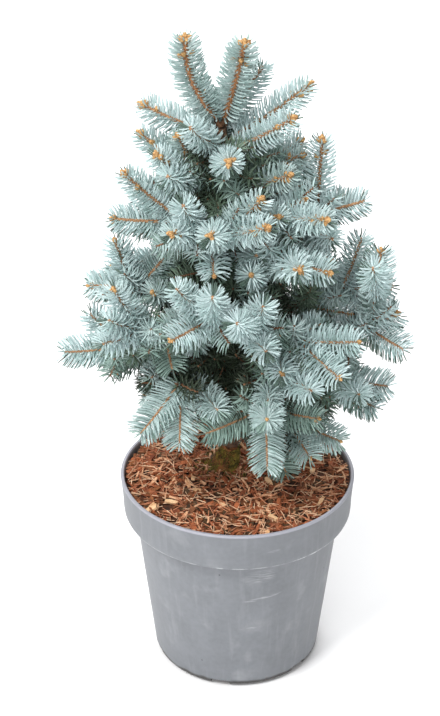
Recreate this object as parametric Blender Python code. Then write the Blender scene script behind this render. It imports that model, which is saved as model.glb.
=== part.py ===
"""A young blue spruce in a grey nursery pot.

The pot, its growing medium, the trunk, the boughs and the masses of foliage are separate solids.
Units are metres with +Z up, and the origin is the centre of the pot's flat underside.
The limb table further down is in millimetres and degrees. A heading of 0 is +X and 90 is +Y.
"""

import math
from dataclasses import dataclass

import bmesh
import bpy
import numpy as np
from mathutils import Matrix, Vector

MM = 0.001
GAP = 0.3 * MM                # between pieces that touch

# Pot
RIM_RADIUS = 115 * MM
POT_HEIGHT = 205 * MM
BAND_HEIGHT = 42 * MM         # the straight collar under the rim
BAND_TAPER = 2.5 * MM
BODY_TOP_RADIUS = 101.5 * MM
BODY_FOOT_RADIUS = 83 * MM
FOOT_ROUNDING = 8 * MM
SHOULDER_HEIGHT = 5 * MM      # over which the body steps out to the collar
SHOULDER_ROUNDING = 3 * MM
SHOULDER_DROP = 2 * MM        # of the same step on the inside
WALL = 2.2 * MM
LIP_WIDTH = 3.6 * MM
LIP_ROUNDING = 1 * MM
FLOOR = 6 * MM
POT_SEGMENTS = 32
NOTCHES = 6                   # drain notches round the foot
NOTCH_SIZE = (11 * MM, 20 * MM, 3.2 * MM)
NOTCH_INSET = 1.5 * MM
NOTCH_TURN = 18
SMOOTH_ANGLE = 35

# Growing medium
SOIL_TOP = 200 * MM
SOIL_FLAT_RADIUS = 52 * MM
SOIL_SLOPE_RADIUS = 76 * MM
SOIL_SLOPE_DROP = 1.2 * MM
SOIL_EDGE_DROP = 2.4 * MM

# Trunk, from its flat cut on the soil to the fork under the leaders
TRUNK_FOOT = Vector((-5 * MM, 9 * MM, SOIL_TOP + GAP))
TRUNK_TOP = Vector((-17 * MM, -2 * MM, 566 * MM))
TRUNK_BOW = 4 * MM
TRUNK_CROOK = Vector((-10 * MM, 7 * MM, 0))   # how far the foot swings out of the trunk's line
CROOK_HEIGHT = 60 * MM        # where it is back in line
TRUNK_FOOT_RADIUS = 8.2 * MM
TRUNK_TOP_RADIUS = 4.8 * MM
FLARE = 6 * MM
FLARE_HEIGHT = 11 * MM
FLARE_LOBES = 5
FLARE_LOBING = 0.4            # share of the flare that comes and goes round the foot
TRUNK_SIDES = 10
TRUNK_RINGS = 11
TRUNK_RING_CROWDING = 1.35    # draws the rings together towards the flare

# Limbs
KNEE_REACH = 0.5              # shares of a limb's reach and climb at which its arch bends
KNEE_CLIMB = 0.25
LEADER_SPLAY = 0.4
BOUGH_SHARE = 0.6             # of the way from the trunk to where the leading shoot starts
BOUGH_GAP = 0.45 * MM         # from a bough's tip to its mass's stem, which bends away a little
BOUGH_RADII = (4.2 * MM, 2.6 * MM)
STEM_RADII = (2.3 * MM, 1.8 * MM)
LIMB_SIDES = 6
STEM_SIDES = 4
PATH_POINTS = 6
LEADER_POINTS = 3
LEAD_PLACE = 0.94             # where the leading shoot starts inside its stem

# Shoots: a slim four-sided core, each face of which carries one needle
CORE_RADII = (2.8 * MM, 2.2 * MM)
CORE_FOOT_RADIUS = 1.2 * MM   # where it is sunk in its stem
CORE_SIDES = 4
BAND_LENGTH = 10.6 * MM
NEEDLE_LENGTHS = (20 * MM, 15.5 * MM)   # at the skirt and at the leaders
CROWN_SPAN = (260 * MM, 620 * MM)
NEEDLE_LEAN = (62, 34)        # degrees off the shoot, at its foot and at its tip
NEEDLE_LEAN_BIAS = 1.5        # keeps the lean wide until near the tip
NEEDLE_SPREAD = 0.12          # seeded share by which a needle's length varies
TIP_REACH = 5 * MM            # of the closed tip past the last ring
CORE_TWIST = 0.37             # of one side, from each ring to the next
CLEARANCE = 0.5 * MM
NEEDLE_ROOM = 2.2 * MM        # kept round each edge of a needle, at its foot
NEEDLE_SEED = 500
LIMB_SEED = 1000
SHOOT_CURL = 9                # degrees by which a shoot turns up along its length
STEEPEST = 88
FEWEST_BANDS = 3

# The seeded fan of side shoots on a limb whose sides are only counted
FAN_TURN = (34, 62)
FAN_RISE = (-26, 22)
FAN_SHARE = (0.68, 0.92)
FAN_SPAN = 0.8                # share of the stem that the fan is spread over, back from its end
FAN_LAST_RISE = 18            # extra rise of the innermost shoot


@dataclass(frozen=True)
class Limb:
    """One limb: where it leaves the trunk, where its leading shoot starts, and its shoots.

    up is a height on the trunk, and azimuth, reach and climb place the leading shoot's foot round
    that point. lead is that shoot's heading, rise and length. sides is a count of shoots to fan
    out, or a row of (place along the stem, heading, rise, length), where a place past 1 is on
    the leading shoot. curl is how far the leading shoot turns up along its length.
    """

    name: str
    up: float
    azimuth: float
    reach: float
    climb: float
    lead: tuple
    sides: tuple | int = ()
    bough: bool = False
    curl: float = SHOOT_CURL


LEADERS = (
    Limb("leader_left", 566, 180, 2.6, 10, (184, 46, 79), curl=48),
    Limb("leader_right", 566, 0, 2.6, 10, (340, 71, 71)),
)

LIMBS = (
    # The whorl under the fork
    Limb("leader_rear", 560, 62, 10, 8, (31, 45, 59)),
    Limb("top_right", 552, 7, 14, 6, (9, 29, 77)),
    Limb("top_right_front", 543, 333, 12, 5, (336, 29, 66)),
    Limb("top_left", 556, 174, 14, 5, (172, 17, 60)),
    Limb("top_left_front", 546, 243, 10, 5, (240, 32, 56)),
    Limb("top_rear", 552, 112, 12, 6, (112, 28, 56), ((0.7, 70, 24, 46),)),
    # The second whorl
    Limb("upper_left", 506, 205, 34, 16, (246, 20, 54),
         ((0.3, 206, 56, 62), (0.8, 222, 36, 58), (0.15, 162, 28, 82))),
    Limb("upper_front", 532, 274, 16, 7, (275, 19, 56)),
    Limb("upper_right", 512, 12, 26, 12, (11, 23, 50), ((0.6, 354, 18, 56), (0.5, 50, 20, 50))),
    Limb("upper_right_front", 503, 326, 22, 9, (324, 23, 54)),
    Limb("upper_rear", 515, 88, 26, 10, (88, 20, 56), 2),
    Limb("upper_rear_left", 498, 140, 28, 10, (136, 18, 58), 2),
    # The shoulders of the crown
    Limb("shoulder_left", 462, 202, 44, 20, (185, 0, 64),
         ((0.9, 186, 38, 73), (0.6, 145, 3, 52))),
    Limb("shoulder_left_front", 470, 242, 60, 22, (251, 42, 50),
         ((0.8, 243, 14, 56), (0.5, 274, -19, 62))),
    Limb("shoulder_front", 462, 264, 64, 28, (259, 20, 48),
         ((0.7, 320, 44, 66), (0.95, 316, 20, 60))),
    Limb("shoulder_right_front", 470, 322, 58, 28, (309, 11, 68),
         ((0.5, 292, 24, 58), (0.85, 338, 30, 36))),
    Limb("shoulder_right", 444, 355, 84, 44, (12, 5, 46),
         ((0.95, 350, 88, 70), (0.75, 298, 4, 58), (0.3, 48, 12, 54), (0.9, 40, 4, 38))),
    Limb("shoulder_rear_right", 455, 50, 62, 26, (48, 12, 56), 3),
    Limb("shoulder_rear", 466, 98, 58, 22, (98, 14, 56), 3),
    Limb("shoulder_rear_left", 446, 146, 64, 24, (122, 4, 48),
         ((0.9, 176, 22, 40), (0.7, 84, -12, 44), (0.5, 118, 30, 44))),
    # The middle whorls, at the crown's widest
    Limb("inner_front", 448, 290, 36, 12, (289, 14, 42)),
    Limb("middle_right_front", 424, 310, 78, 44, (283, 9, 54),
         ((0.9, 324, -4, 50), (0.4, 266, 18, 62), (0.6, 344, 10, 60))),
    Limb("middle_left", 382, 180, 94, 28, (185, -4, 42),
         ((0.95, 190, 65, 48), (0.9, 4, 46, 46), (0.8, 148, 13, 42), (0.2, 120, 10, 50),
          (0.5, 238, 26, 46)), True),
    Limb("middle_left_front", 356, 210, 98, 30, (222, 0, 48),
         ((0.95, 222, 54, 62), (0.9, 224, 27, 54), (0.7, 286, -50, 34), (0.3, 262, 18, 46)), True),
    Limb("middle_front_left", 384, 258, 84, 34, (270, 38, 66),
         ((0.8, 229, 39, 70), (0.5, 208, 1, 56), (0.9, 219, -14, 48)), True),
    Limb("middle_front", 372, 283, 86, 36, (255, 26, 64),
         ((0.95, 288, 47, 44), (0.8, 287, -2, 48), (0.4, 300, 54, 54), (0.6, 318, 6, 42)), True),
    Limb("middle_right_low", 350, 314, 90, 34, (327, 11, 64),
         ((0.95, 307, -17, 60), (0.6, 275, -4, 56), (0.5, 340, 27, 58)), True),
    Limb("middle_right", 342, 346, 139, 44, (280, 68, 46),
         ((1.95, 258, 44, 52), (1.9, 75, 60, 37), (0.9, 333, -26, 42), (0.5, 284, 32, 48),
          (1.0, 12, 14, 18)), True),
    Limb("middle_right_rear", 372, 358, 112, 36, (337, 10, 44),
         ((0.9, 355, 68, 57), (0.5, 52, 10, 52), (0.8, 24, 26, 40), (0.55, 335, -3, 50)), True),
    Limb("middle_rear_right", 392, 52, 78, 26, (50, 8, 58), 4, True),
    Limb("middle_rear", 370, 98, 78, 30, (98, 10, 58), 4),
    Limb("middle_rear_left", 394, 142, 80, 18, (176, -10, 52),
         ((0.95, 85, 22, 52), (0.75, 166, -4, 50), (0.6, 92, -6, 45), (0.4, 176, 18, 46)), True),
    # The lowest limbs, hanging a little over the pot
    Limb("low_left", 330, 188, 108, 20, (190, -5, 57),
         ((0.9, 177, 40, 50), (0.8, 147, -5, 52), (0.4, 232, -10, 46)), True),
    Limb("low_right", 304, 342, 112, 22, (358, -14, 46),
         ((0.9, 290, 9, 55), (0.7, 270, -50, 34), (0.85, 340, -31, 50), (0.3, 34, -8, 62)), True),
    Limb("low_right_front", 322, 306, 80, 30, (296, 4, 58),
         ((0.7, 267, -4, 53), (0.5, 336, -6, 50))),
    Limb("low_front", 290, 294, 82, 28, (268, 16, 60),
         ((0.9, 272, -62, 58), (0.9, 203, -18, 62), (0.7, 330, 0, 62))),
    Limb("low_left_front", 308, 226, 76, 24, (212, -49, 59),
         ((0.9, 267, -68, 58), (0.6, 290, 0, 58), (0.4, 190, -12, 60))),
    Limb("skirt_right", 272, 318, 72, 20, (330, -15, 57),
         ((0.9, 303, -34, 48), (0.5, 312, -62, 60))),
    Limb("low_rear_right", 306, 46, 84, 22, (44, -4, 56),
         ((0.9, 92, -14, 52), (0.8, 8, -20, 50), (0.4, 60, -64, 56)), True),
    Limb("low_rear", 318, 96, 80, 20, (96, -6, 56),
         ((0.9, 140, -16, 50), (0.7, 62, -30, 50), (0.6, 104, -68, 60))),
    Limb("low_rear_left", 302, 146, 88, 20, (146, -8, 56),
         ((0.9, 188, -36, 56), (0.8, 106, -22, 50), (0.4, 150, -66, 58)), True),
)


@dataclass
class Shoot:
    """One spray of needles: the ring centres along its core and which faces carry a needle."""

    points: np.ndarray
    radii: np.ndarray
    number: int
    needles: np.ndarray | None = None
    kept: np.ndarray | None = None


def bearing(heading, rise):
    """The unit vector with this heading and rise, in degrees."""
    turn = math.radians(heading)
    lift = math.radians(rise)
    return np.array((math.cos(lift) * math.cos(turn), math.cos(lift) * math.sin(turn), math.sin(lift)))


def trunk_point(height):
    """The trunk's axis at a height, leaning, slightly bowed and crooked at its foot."""
    share = (height - TRUNK_FOOT.z) / (TRUNK_TOP.z - TRUNK_FOOT.z)
    point = TRUNK_FOOT.lerp(TRUNK_TOP, share)
    point.x += TRUNK_BOW * math.sin(math.pi * share)
    point += TRUNK_CROOK * max(0, 1 - (height - TRUNK_FOOT.z) / CROOK_HEIGHT) ** 2
    point.z = height
    return point


def trunk_radius(height):
    """The trunk's radius at a height, without its root flare."""
    share = (height - TRUNK_FOOT.z) / (TRUNK_TOP.z - TRUNK_FOOT.z)
    return TRUNK_FOOT_RADIUS + (TRUNK_TOP_RADIUS - TRUNK_FOOT_RADIUS) * share


def limb_path(limb, count):
    """Points from the trunk's surface to the leading shoot's foot, arching like a branch."""
    height = limb.up * MM
    axis = np.array(trunk_point(height))
    outward = bearing(limb.azimuth, 0)
    start = axis + outward * (trunk_radius(height) + GAP)
    end = axis + outward * limb.reach * MM + np.array((0, 0, limb.climb * MM))
    knee = start + outward * KNEE_REACH * (limb.reach * MM - trunk_radius(height))
    knee[2] = start[2] + KNEE_CLIMB * limb.climb * MM
    along = np.linspace(0, 1, count)[:, None]
    return (1 - along) ** 2 * start + 2 * along * (1 - along) * knee + along ** 2 * end


def leader_path(limb, count):
    """Points from the trunk's flat top to a leader's foot."""
    side = bearing(limb.azimuth, 0) * limb.reach * MM
    start = np.array(TRUNK_TOP) + side + np.array((0, 0, GAP))
    end = start + np.array((0, 0, limb.climb * MM)) + side * LEADER_SPLAY
    along = np.linspace(0, 1, count)[:, None]
    return start + (end - start) * along


def shoot_path(foot, heading, rise, length, curl=SHOOT_CURL):
    """Ring centres along a shoot that turns up by its curl towards its tip."""
    bands = max(FEWEST_BANDS, round(length * MM / BAND_LENGTH))
    step = length * MM / bands
    points = [np.array(foot)]
    for band in range(bands):
        lift = min(STEEPEST, rise + curl * (band + 0.5) / bands)
        points.append(points[-1] + bearing(heading, lift) * step)
    return np.array(points)


def frames_along(points):
    """The tangent and two cross directions at each point, carried along without spinning."""
    ways = np.gradient(points, axis=0)
    ways /= np.linalg.norm(ways, axis=1)[:, None]
    side = np.cross(ways[0], (0, 0, 1) if abs(ways[0][2]) < 0.9 else (1, 0, 0))
    sides = []
    for way in ways:
        side = side - way * np.dot(side, way)
        side = side / np.linalg.norm(side)
        sides.append(side)
    sides = np.array(sides)
    return ways, sides, np.cross(ways, sides)


def needle_tips(points, radii, rng):
    """The two ends of the foot and the tip of the needle on each face of a core, band by band."""
    ways, sides, ups = frames_along(points)
    bands = len(points) - 1
    length = np.interp(points[-1][2], CROWN_SPAN, NEEDLE_LENGTHS)
    rows = []
    for band in range(bands):
        share = band / max(1, bands - 1)
        bend = (NEEDLE_LEAN[1] - NEEDLE_LEAN[0]) * share ** NEEDLE_LEAN_BIAS
        lean = math.radians(NEEDLE_LEAN[0] + bend)
        middle = (points[band] + points[band + 1]) / 2
        way = ways[band] + ways[band + 1]
        way /= np.linalg.norm(way)
        for face in range(CORE_SIDES):
            angle = (face + 0.5 + CORE_TWIST * (band + 0.5)) * 2 * math.pi / CORE_SIDES
            out = sides[band] * math.cos(angle) + ups[band] * math.sin(angle)
            reach = length * (1 + NEEDLE_SPREAD * rng.uniform(-1, 1))
            foot = out * radii[band] * math.cos(math.pi / CORE_SIDES)
            tip = middle + foot + (way * math.cos(lean) + out * math.sin(lean)) * reach
            rows.append((points[band] + foot, points[band + 1] + foot, tip))
    return np.array(rows)


def closest(first, second):
    """Distance between each pair of segments, and where along each one it is reached."""
    p, q = first[:, None, 0], second[None, :, 0]
    u, v = first[:, None, 1] - p, second[None, :, 1] - q
    w = p - q
    uu, vv, uv = (u * u).sum(-1), (v * v).sum(-1), (u * v).sum(-1)
    uw, vw = (u * w).sum(-1), (v * w).sum(-1)
    flat = np.maximum(uu * vv - uv * uv, 1e-18)
    along = np.clip((uv * vw - uw * vv) / flat, 0, 1)
    other = np.clip((uv * along + vw) / vv, 0, 1)
    along = np.clip((uv * other - uw) / uu, 0, 1)
    apart = w + u * along[..., None] - v * other[..., None]
    return np.linalg.norm(apart, axis=-1), along, other


class Space:
    """The tapered rods already placed, so that each mass keeps to its own space."""

    def __init__(self):
        self.rods = np.zeros((0, 2, 3))
        self.thick = np.zeros((0, 2))
        self.mass = np.zeros(0, int)
        self.shoot = np.zeros(0, int)

    def add(self, rods, thick, mass, shoot=-1):
        """Place rods with the radii at their two ends."""
        self.rods = np.concatenate([self.rods, rods])
        self.thick = np.concatenate([self.thick, thick])
        self.mass = np.concatenate([self.mass, np.full(len(rods), mass)])
        self.shoot = np.concatenate([self.shoot, np.full(len(rods), shoot)])

    def clash(self, rods, thick, mask):
        """Which of the rods come within the clearance of a placed rod in the mask."""
        if not mask.any() or not len(rods):
            return np.zeros(len(rods), bool)
        apart, along, other = closest(rods, self.rods[mask])
        near = thick[:, None, 0] * (1 - along) + thick[:, None, 1] * along
        far = self.thick[mask][None, :, 0] * (1 - other) + self.thick[mask][None, :, 1] * other
        return (apart < near + far + CLEARANCE).any(axis=1)


def rods_of(points, radii):
    """The pieces of a polyline as rods with end radii."""
    rods = np.stack([points[:-1], points[1:]], axis=1)
    return rods, np.stack([radii[:-1], radii[1:]], axis=1)


def tip_of(points):
    """The closed point of a shoot, past its last ring."""
    way = points[-1] - points[-2]
    return points[-1] + way / np.linalg.norm(way) * TIP_REACH


def grow_core(points, mass, space):
    """Place a shoot's core in free space, or return None where it would touch another piece."""
    radii = np.linspace(CORE_RADII[0], CORE_RADII[1], len(points))
    radii[0] = CORE_FOOT_RADIUS
    rods, thick = rods_of(np.vstack([points, tip_of(points)]), np.append(radii, 0))
    if space.clash(rods, thick, space.mass != mass).any():
        return None
    number = space.shoot.max(initial=-1) + 1
    space.add(rods, thick, mass, number)
    return Shoot(points, radii, number)


def grow_needles(shoot, mass, space):
    """Choose the needles of a shoot that have room, leaving its foot bare."""
    rng = np.random.default_rng(NEEDLE_SEED + shoot.number)
    shoot.needles = needle_tips(shoot.points, shoot.radii, rng)
    thick = np.tile((NEEDLE_ROOM, 0), (len(shoot.needles), 1))
    others = space.shoot != shoot.number
    edges = [shoot.needles[:, (end, 2)] for end in (0, 1)]
    shoot.kept = ~(space.clash(edges[0], thick, others) | space.clash(edges[1], thick, others))
    shoot.kept[:CORE_SIDES] = False
    for edge in edges:
        space.add(edge[shoot.kept], thick[shoot.kept], mass, shoot.number)


def side_plan(limb, rng):
    """The side shoots of a limb as (place, heading, rise, length) rows."""
    if not isinstance(limb.sides, int):
        return limb.sides
    heading, rise, length = limb.lead
    rows = []
    for index in range(limb.sides):
        turn = rng.uniform(*FAN_TURN) * (1 if index % 2 else -1)
        place = 1 - FAN_SPAN * index / limb.sides
        lift = rise + rng.uniform(*FAN_RISE) + (FAN_LAST_RISE if index == limb.sides - 1 else 0)
        rows.append((place, heading + turn, lift, length * rng.uniform(*FAN_SHARE)))
    return rows


def place_on(stem, lead, place):
    """The point at a place along the stem, or past 1 along the leading shoot."""
    line, share = (stem, place) if place <= 1 else (lead, place - 1)
    spot = min(share * (len(line) - 1), len(line) - 1.001)
    index = int(spot)
    return line[index] + (line[index + 1] - line[index]) * (spot - index)


def material(name, colour, roughness):
    """A plain finish."""
    finish = bpy.data.materials.new(name)
    finish.use_nodes = True
    shader = finish.node_tree.nodes["Principled BSDF"]
    shader.inputs["Base Color"].default_value = (*colour, 1)
    shader.inputs["Roughness"].default_value = roughness
    shader.inputs["Metallic"].default_value = 0
    return finish


def add_object(name, vertices, faces, finish, smooth=False):
    """One named object from its vertices and faces."""
    mesh = bpy.data.meshes.new(name)
    mesh.from_pydata([tuple(map(float, vertex)) for vertex in vertices], [], faces)
    mesh.materials.append(finish)
    if smooth:
        mesh.shade_smooth()
        mesh.set_sharp_from_angle(angle=math.radians(SMOOTH_ANGLE))
    made = bpy.data.objects.new(name, mesh)
    bpy.context.scene.collection.objects.link(made)
    return made


def turned(name, profile, segments, finish):
    """A solid turned round Z from a profile that starts and ends on the axis."""
    rows = profile[1:-1]
    vertices = [(0, 0, profile[0][1])]
    for radius, height in rows:
        for step in range(segments):
            angle = 2 * math.pi * step / segments
            vertices.append((radius * math.cos(angle), radius * math.sin(angle), height))
    vertices.append((0, 0, profile[-1][1]))
    last = len(vertices) - 1
    faces = []
    for step in range(segments):
        after = (step + 1) % segments
        faces.append((0, 1 + after, 1 + step))
        for row in range(len(rows) - 1):
            low = 1 + row * segments
            faces.append((low + step, low + after, low + segments + after, low + segments + step))
        top = 1 + (len(rows) - 1) * segments
        faces.append((top + step, top + after, last))
    return add_object(name, vertices, faces, finish, smooth=True)


def body_radius(height):
    """The outer radius of the pot's body below its collar."""
    share = height / (POT_HEIGHT - BAND_HEIGHT)
    return BODY_FOOT_RADIUS + (BODY_TOP_RADIUS - BODY_FOOT_RADIUS) * share


def inner_wall():
    """The pot's inside, from the rim down to the floor, as (radius, height) rows."""
    step = POT_HEIGHT - BAND_HEIGHT
    return [
        (RIM_RADIUS - LIP_WIDTH, POT_HEIGHT - LIP_ROUNDING),
        (RIM_RADIUS - BAND_TAPER - WALL, step + SHOULDER_HEIGHT),
        (body_radius(step) - WALL, step - SHOULDER_DROP),
        (body_radius(FLOOR) - WALL, FLOOR),
    ]


def pot_profile():
    """The pot's wall, out from the underside's centre, up over the rim and down inside."""
    step = POT_HEIGHT - BAND_HEIGHT
    band_radius = RIM_RADIUS - BAND_TAPER
    profile = [(0, 0)]
    for angle in np.radians((0, 30, 60, 90)):
        profile.append((body_radius(FOOT_ROUNDING) - FOOT_ROUNDING * (1 - math.sin(angle)),
                        FOOT_ROUNDING * (1 - math.cos(angle))))
    profile += [
        (body_radius(step), step),
        (band_radius - SHOULDER_ROUNDING, step + LIP_ROUNDING),
        (band_radius, step + SHOULDER_HEIGHT),
        (RIM_RADIUS - LIP_ROUNDING, POT_HEIGHT - 2 * LIP_ROUNDING),
        (RIM_RADIUS, POT_HEIGHT - LIP_ROUNDING),
        (RIM_RADIUS - LIP_ROUNDING, POT_HEIGHT),
        (RIM_RADIUS - LIP_WIDTH + LIP_ROUNDING, POT_HEIGHT),
    ]
    return profile + inner_wall() + [(0, FLOOR)]


def make_pot():
    """The pot, with drain notches cut into the edge of its foot."""
    pot = turned("pot", pot_profile(), POT_SEGMENTS, material("grey_plastic", (0.33, 0.34, 0.36), 0.5))
    cutter_mesh = bpy.data.meshes.new("notch")
    shape = bmesh.new()
    for notch in range(NOTCHES):
        turn = Matrix.Rotation(math.radians(NOTCH_TURN + 360 / NOTCHES * notch), 4, "Z")
        spot = Matrix.Translation((body_radius(FOOT_ROUNDING) - NOTCH_INSET, 0, 0))
        size = Matrix.Diagonal((NOTCH_SIZE[0], NOTCH_SIZE[1], 2 * NOTCH_SIZE[2], 1))
        bmesh.ops.create_cube(shape, size=1, matrix=turn @ spot @ size)
    shape.to_mesh(cutter_mesh)
    shape.free()
    cutter = bpy.data.objects.new("notch_cutter", cutter_mesh)
    cutter.hide_render = True
    cutter.display_type = "WIRE"
    bpy.context.scene.collection.objects.link(cutter)
    cut = pot.modifiers.new("notches", "BOOLEAN")
    cut.operation = "DIFFERENCE"
    cut.solver = "EXACT"
    cut.object = cutter
    return pot


def make_growing_medium():
    """The filled inside of the pot, a little lower towards the wall."""
    rim, band, body, floor = inner_wall()
    edge = SOIL_TOP - SOIL_EDGE_DROP
    share = (edge - band[1]) / (rim[1] - band[1])
    profile = [
        (0, FLOOR + GAP),
        (floor[0] - GAP, FLOOR + GAP),
        (body[0] - GAP, body[1] + GAP),
        (band[0] - GAP, band[1] + GAP),
        (band[0] + (rim[0] - band[0]) * share - GAP, edge),
        (SOIL_SLOPE_RADIUS, SOIL_TOP - SOIL_SLOPE_DROP),
        (SOIL_FLAT_RADIUS, SOIL_TOP),
        (0, SOIL_TOP),
    ]
    return turned("growing_medium", profile, POT_SEGMENTS, material("bark_mulch", (0.17, 0.08, 0.04), 0.95))


def make_trunk(space, finish):
    """The whole trunk, tapering and leaning from its flared, crooked foot to the fork."""
    vertices = []
    foot, top = TRUNK_FOOT.z, TRUNK_TOP.z
    for ring in range(TRUNK_RINGS):
        height = foot + (top - foot) * (ring / (TRUNK_RINGS - 1)) ** TRUNK_RING_CROWDING
        centre = trunk_point(height)
        fade = math.exp(-(height - foot) / FLARE_HEIGHT)
        for side in range(TRUNK_SIDES):
            angle = 2 * math.pi * side / TRUNK_SIDES
            lobe = 1 - FLARE_LOBING + FLARE_LOBING * math.cos(FLARE_LOBES * angle)
            radius = trunk_radius(height) + FLARE * fade * lobe
            vertices.append((centre.x + radius * math.cos(angle), centre.y + radius * math.sin(angle), height))
    faces = tube_faces(TRUNK_RINGS, TRUNK_SIDES)
    heights = np.linspace(foot, top, TRUNK_RINGS)
    points = np.array([trunk_point(height) for height in heights])
    radii = np.array([trunk_radius(height) for height in heights])
    radii[0] += FLARE
    points[-1][2] -= TRUNK_TOP_RADIUS
    space.add(*rods_of(points, radii), mass=-1)
    return add_object("trunk", vertices, faces, finish, smooth=True)


def tube_faces(rings, sides):
    """Faces of a tube of rings, with both ends closed."""
    faces = [tuple(reversed(range(sides)))]
    for ring in range(rings - 1):
        for side in range(sides):
            after = (side + 1) % sides
            low, high = ring * sides, (ring + 1) * sides
            faces.append((low + side, low + after, high + after, high + side))
    faces.append(tuple(range((rings - 1) * sides, rings * sides)))
    return faces


def tube(name, points, radii, sides, finish, seat=None):
    """A tapering limb. seat is the normal of the face that it starts on, where that isn't square."""
    ways, across, ups = frames_along(points)
    vertices = []
    for ring, point in enumerate(points):
        for side in range(sides):
            angle = 2 * math.pi * side / sides
            offset = (across[ring] * math.cos(angle) + ups[ring] * math.sin(angle)) * radii[ring]
            if ring == 0 and seat is not None:
                offset = offset - ways[0] * np.dot(offset, seat) / np.dot(ways[0], seat)
            vertices.append(point + offset)
    return add_object(name, vertices, tube_faces(len(points), sides), finish, smooth=True)


def shoot_object(shoot, finish):
    """The solid of one shoot: its core's faces drawn out into needles."""
    ways, across, ups = frames_along(shoot.points)
    rings = len(shoot.points)
    vertices = []
    for ring, point in enumerate(shoot.points):
        for side in range(CORE_SIDES):
            angle = (side + CORE_TWIST * ring) * 2 * math.pi / CORE_SIDES
            out = across[ring] * math.cos(angle) + ups[ring] * math.sin(angle)
            vertices.append(point + out * shoot.radii[ring])
    faces = [tuple(reversed(range(CORE_SIDES)))]
    for band in range(rings - 1):
        for side in range(CORE_SIDES):
            after = (side + 1) % CORE_SIDES
            low, high = band * CORE_SIDES, (band + 1) * CORE_SIDES
            corners = (low + side, low + after, high + after, high + side)
            number = band * CORE_SIDES + side
            if shoot.kept[number]:
                faces += [(corners[edge], corners[edge - 3], len(vertices)) for edge in range(4)]
                vertices.append(shoot.needles[number][2])
            else:
                faces += [(corners[0], corners[1], corners[2]), (corners[0], corners[2], corners[3])]
    tip = len(vertices)
    vertices.append(tip_of(shoot.points))
    last = (rings - 1) * CORE_SIDES
    faces += [(last + side, last + (side + 1) % CORE_SIDES, tip) for side in range(CORE_SIDES)]
    return add_object("shoot", vertices, faces, finish)


def signed_volume(faces):
    """Six times the volume that triangular faces enclose."""
    return sum(face.verts[0].co.dot(face.verts[1].co.cross(face.verts[2].co)) for face in faces)


def keep_one_body(mesh):
    """Leave only the largest closed body, which fills hollows and drops scraps."""
    shape = bmesh.new()
    shape.from_mesh(mesh)
    bmesh.ops.triangulate(shape, faces=shape.faces[:])
    left = set(shape.faces)
    bodies = []
    while left:
        reached = [left.pop()]
        body = list(reached)
        while reached:
            face = reached.pop()
            for edge in face.edges:
                for other in edge.link_faces:
                    if other in left:
                        left.discard(other)
                        reached.append(other)
                        body.append(other)
        bodies.append(body)
    bodies.sort(key=signed_volume, reverse=True)
    scraps = [face for body in bodies[1:] for face in body]
    bmesh.ops.delete(shape, geom=scraps, context="FACES")
    shape.to_mesh(mesh)
    shape.free()


def fuse(stem, shoots):
    """Join a mass's stem and shoots by one Boolean union on their collection."""
    group = bpy.data.collections.new("shoots_of_" + stem.name)
    bpy.context.scene.collection.children.link(group)
    for shoot in shoots:
        bpy.context.scene.collection.objects.unlink(shoot)
        group.objects.link(shoot)
    union = stem.modifiers.new("union", "BOOLEAN")
    union.operation = "UNION"
    union.solver = "EXACT"
    union.operand_type = "COLLECTION"
    union.collection = group
    bpy.context.view_layer.update()
    fused = bpy.data.meshes.new_from_object(stem.evaluated_get(bpy.context.evaluated_depsgraph_get()))
    stem.modifiers.clear()
    stem.data = fused
    for shoot in shoots:
        bpy.data.objects.remove(shoot, do_unlink=True)
    bpy.data.collections.remove(group)
    keep_one_body(stem.data)


def make_limb(limb, path, owner, space, finishes, seat):
    """One limb: its bough, where it has one, and its mass of foliage."""
    if limb.bough:
        cut = round(BOUGH_SHARE * (len(path) - 1))
        bough = path[:cut + 1]
        radii = np.linspace(BOUGH_RADII[0], BOUGH_RADII[1], len(bough))
        tube("bough_" + limb.name, bough, radii, LIMB_SIDES, finishes["bark"], seat)
        space.add(*rods_of(bough, radii), owner)
        stem = path[cut:].copy()
        way = stem[1] - stem[0]
        stem[0] += way / np.linalg.norm(way) * BOUGH_GAP
        seat = None
    else:
        stem = path
    radii = np.linspace(STEM_RADII[0], STEM_RADII[1], len(stem))
    core = tube("foliage_" + limb.name, stem, radii, STEM_SIDES, finishes["needles"], seat)
    space.add(*rods_of(stem, radii), owner)
    return core, stem


def limb_shoots(limb, stem, owner, space):
    """The cores of a limb's shoots, the leading one first."""
    rng = np.random.default_rng(LIMB_SEED + owner)
    foot = place_on(stem, stem, LEAD_PLACE)
    lead = grow_core(shoot_path(foot, *limb.lead, limb.curl), owner, space)
    if lead is None:
        raise ValueError(limb.name + ": the leading shoot has no room")
    shoots = [lead]
    for place, heading, rise, length in side_plan(limb, rng):
        foot = place_on(stem, lead.points, place)
        shoot = grow_core(shoot_path(foot, heading, rise, length), owner, space)
        if shoot is not None:
            shoots.append(shoot)
    return shoots


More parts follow.
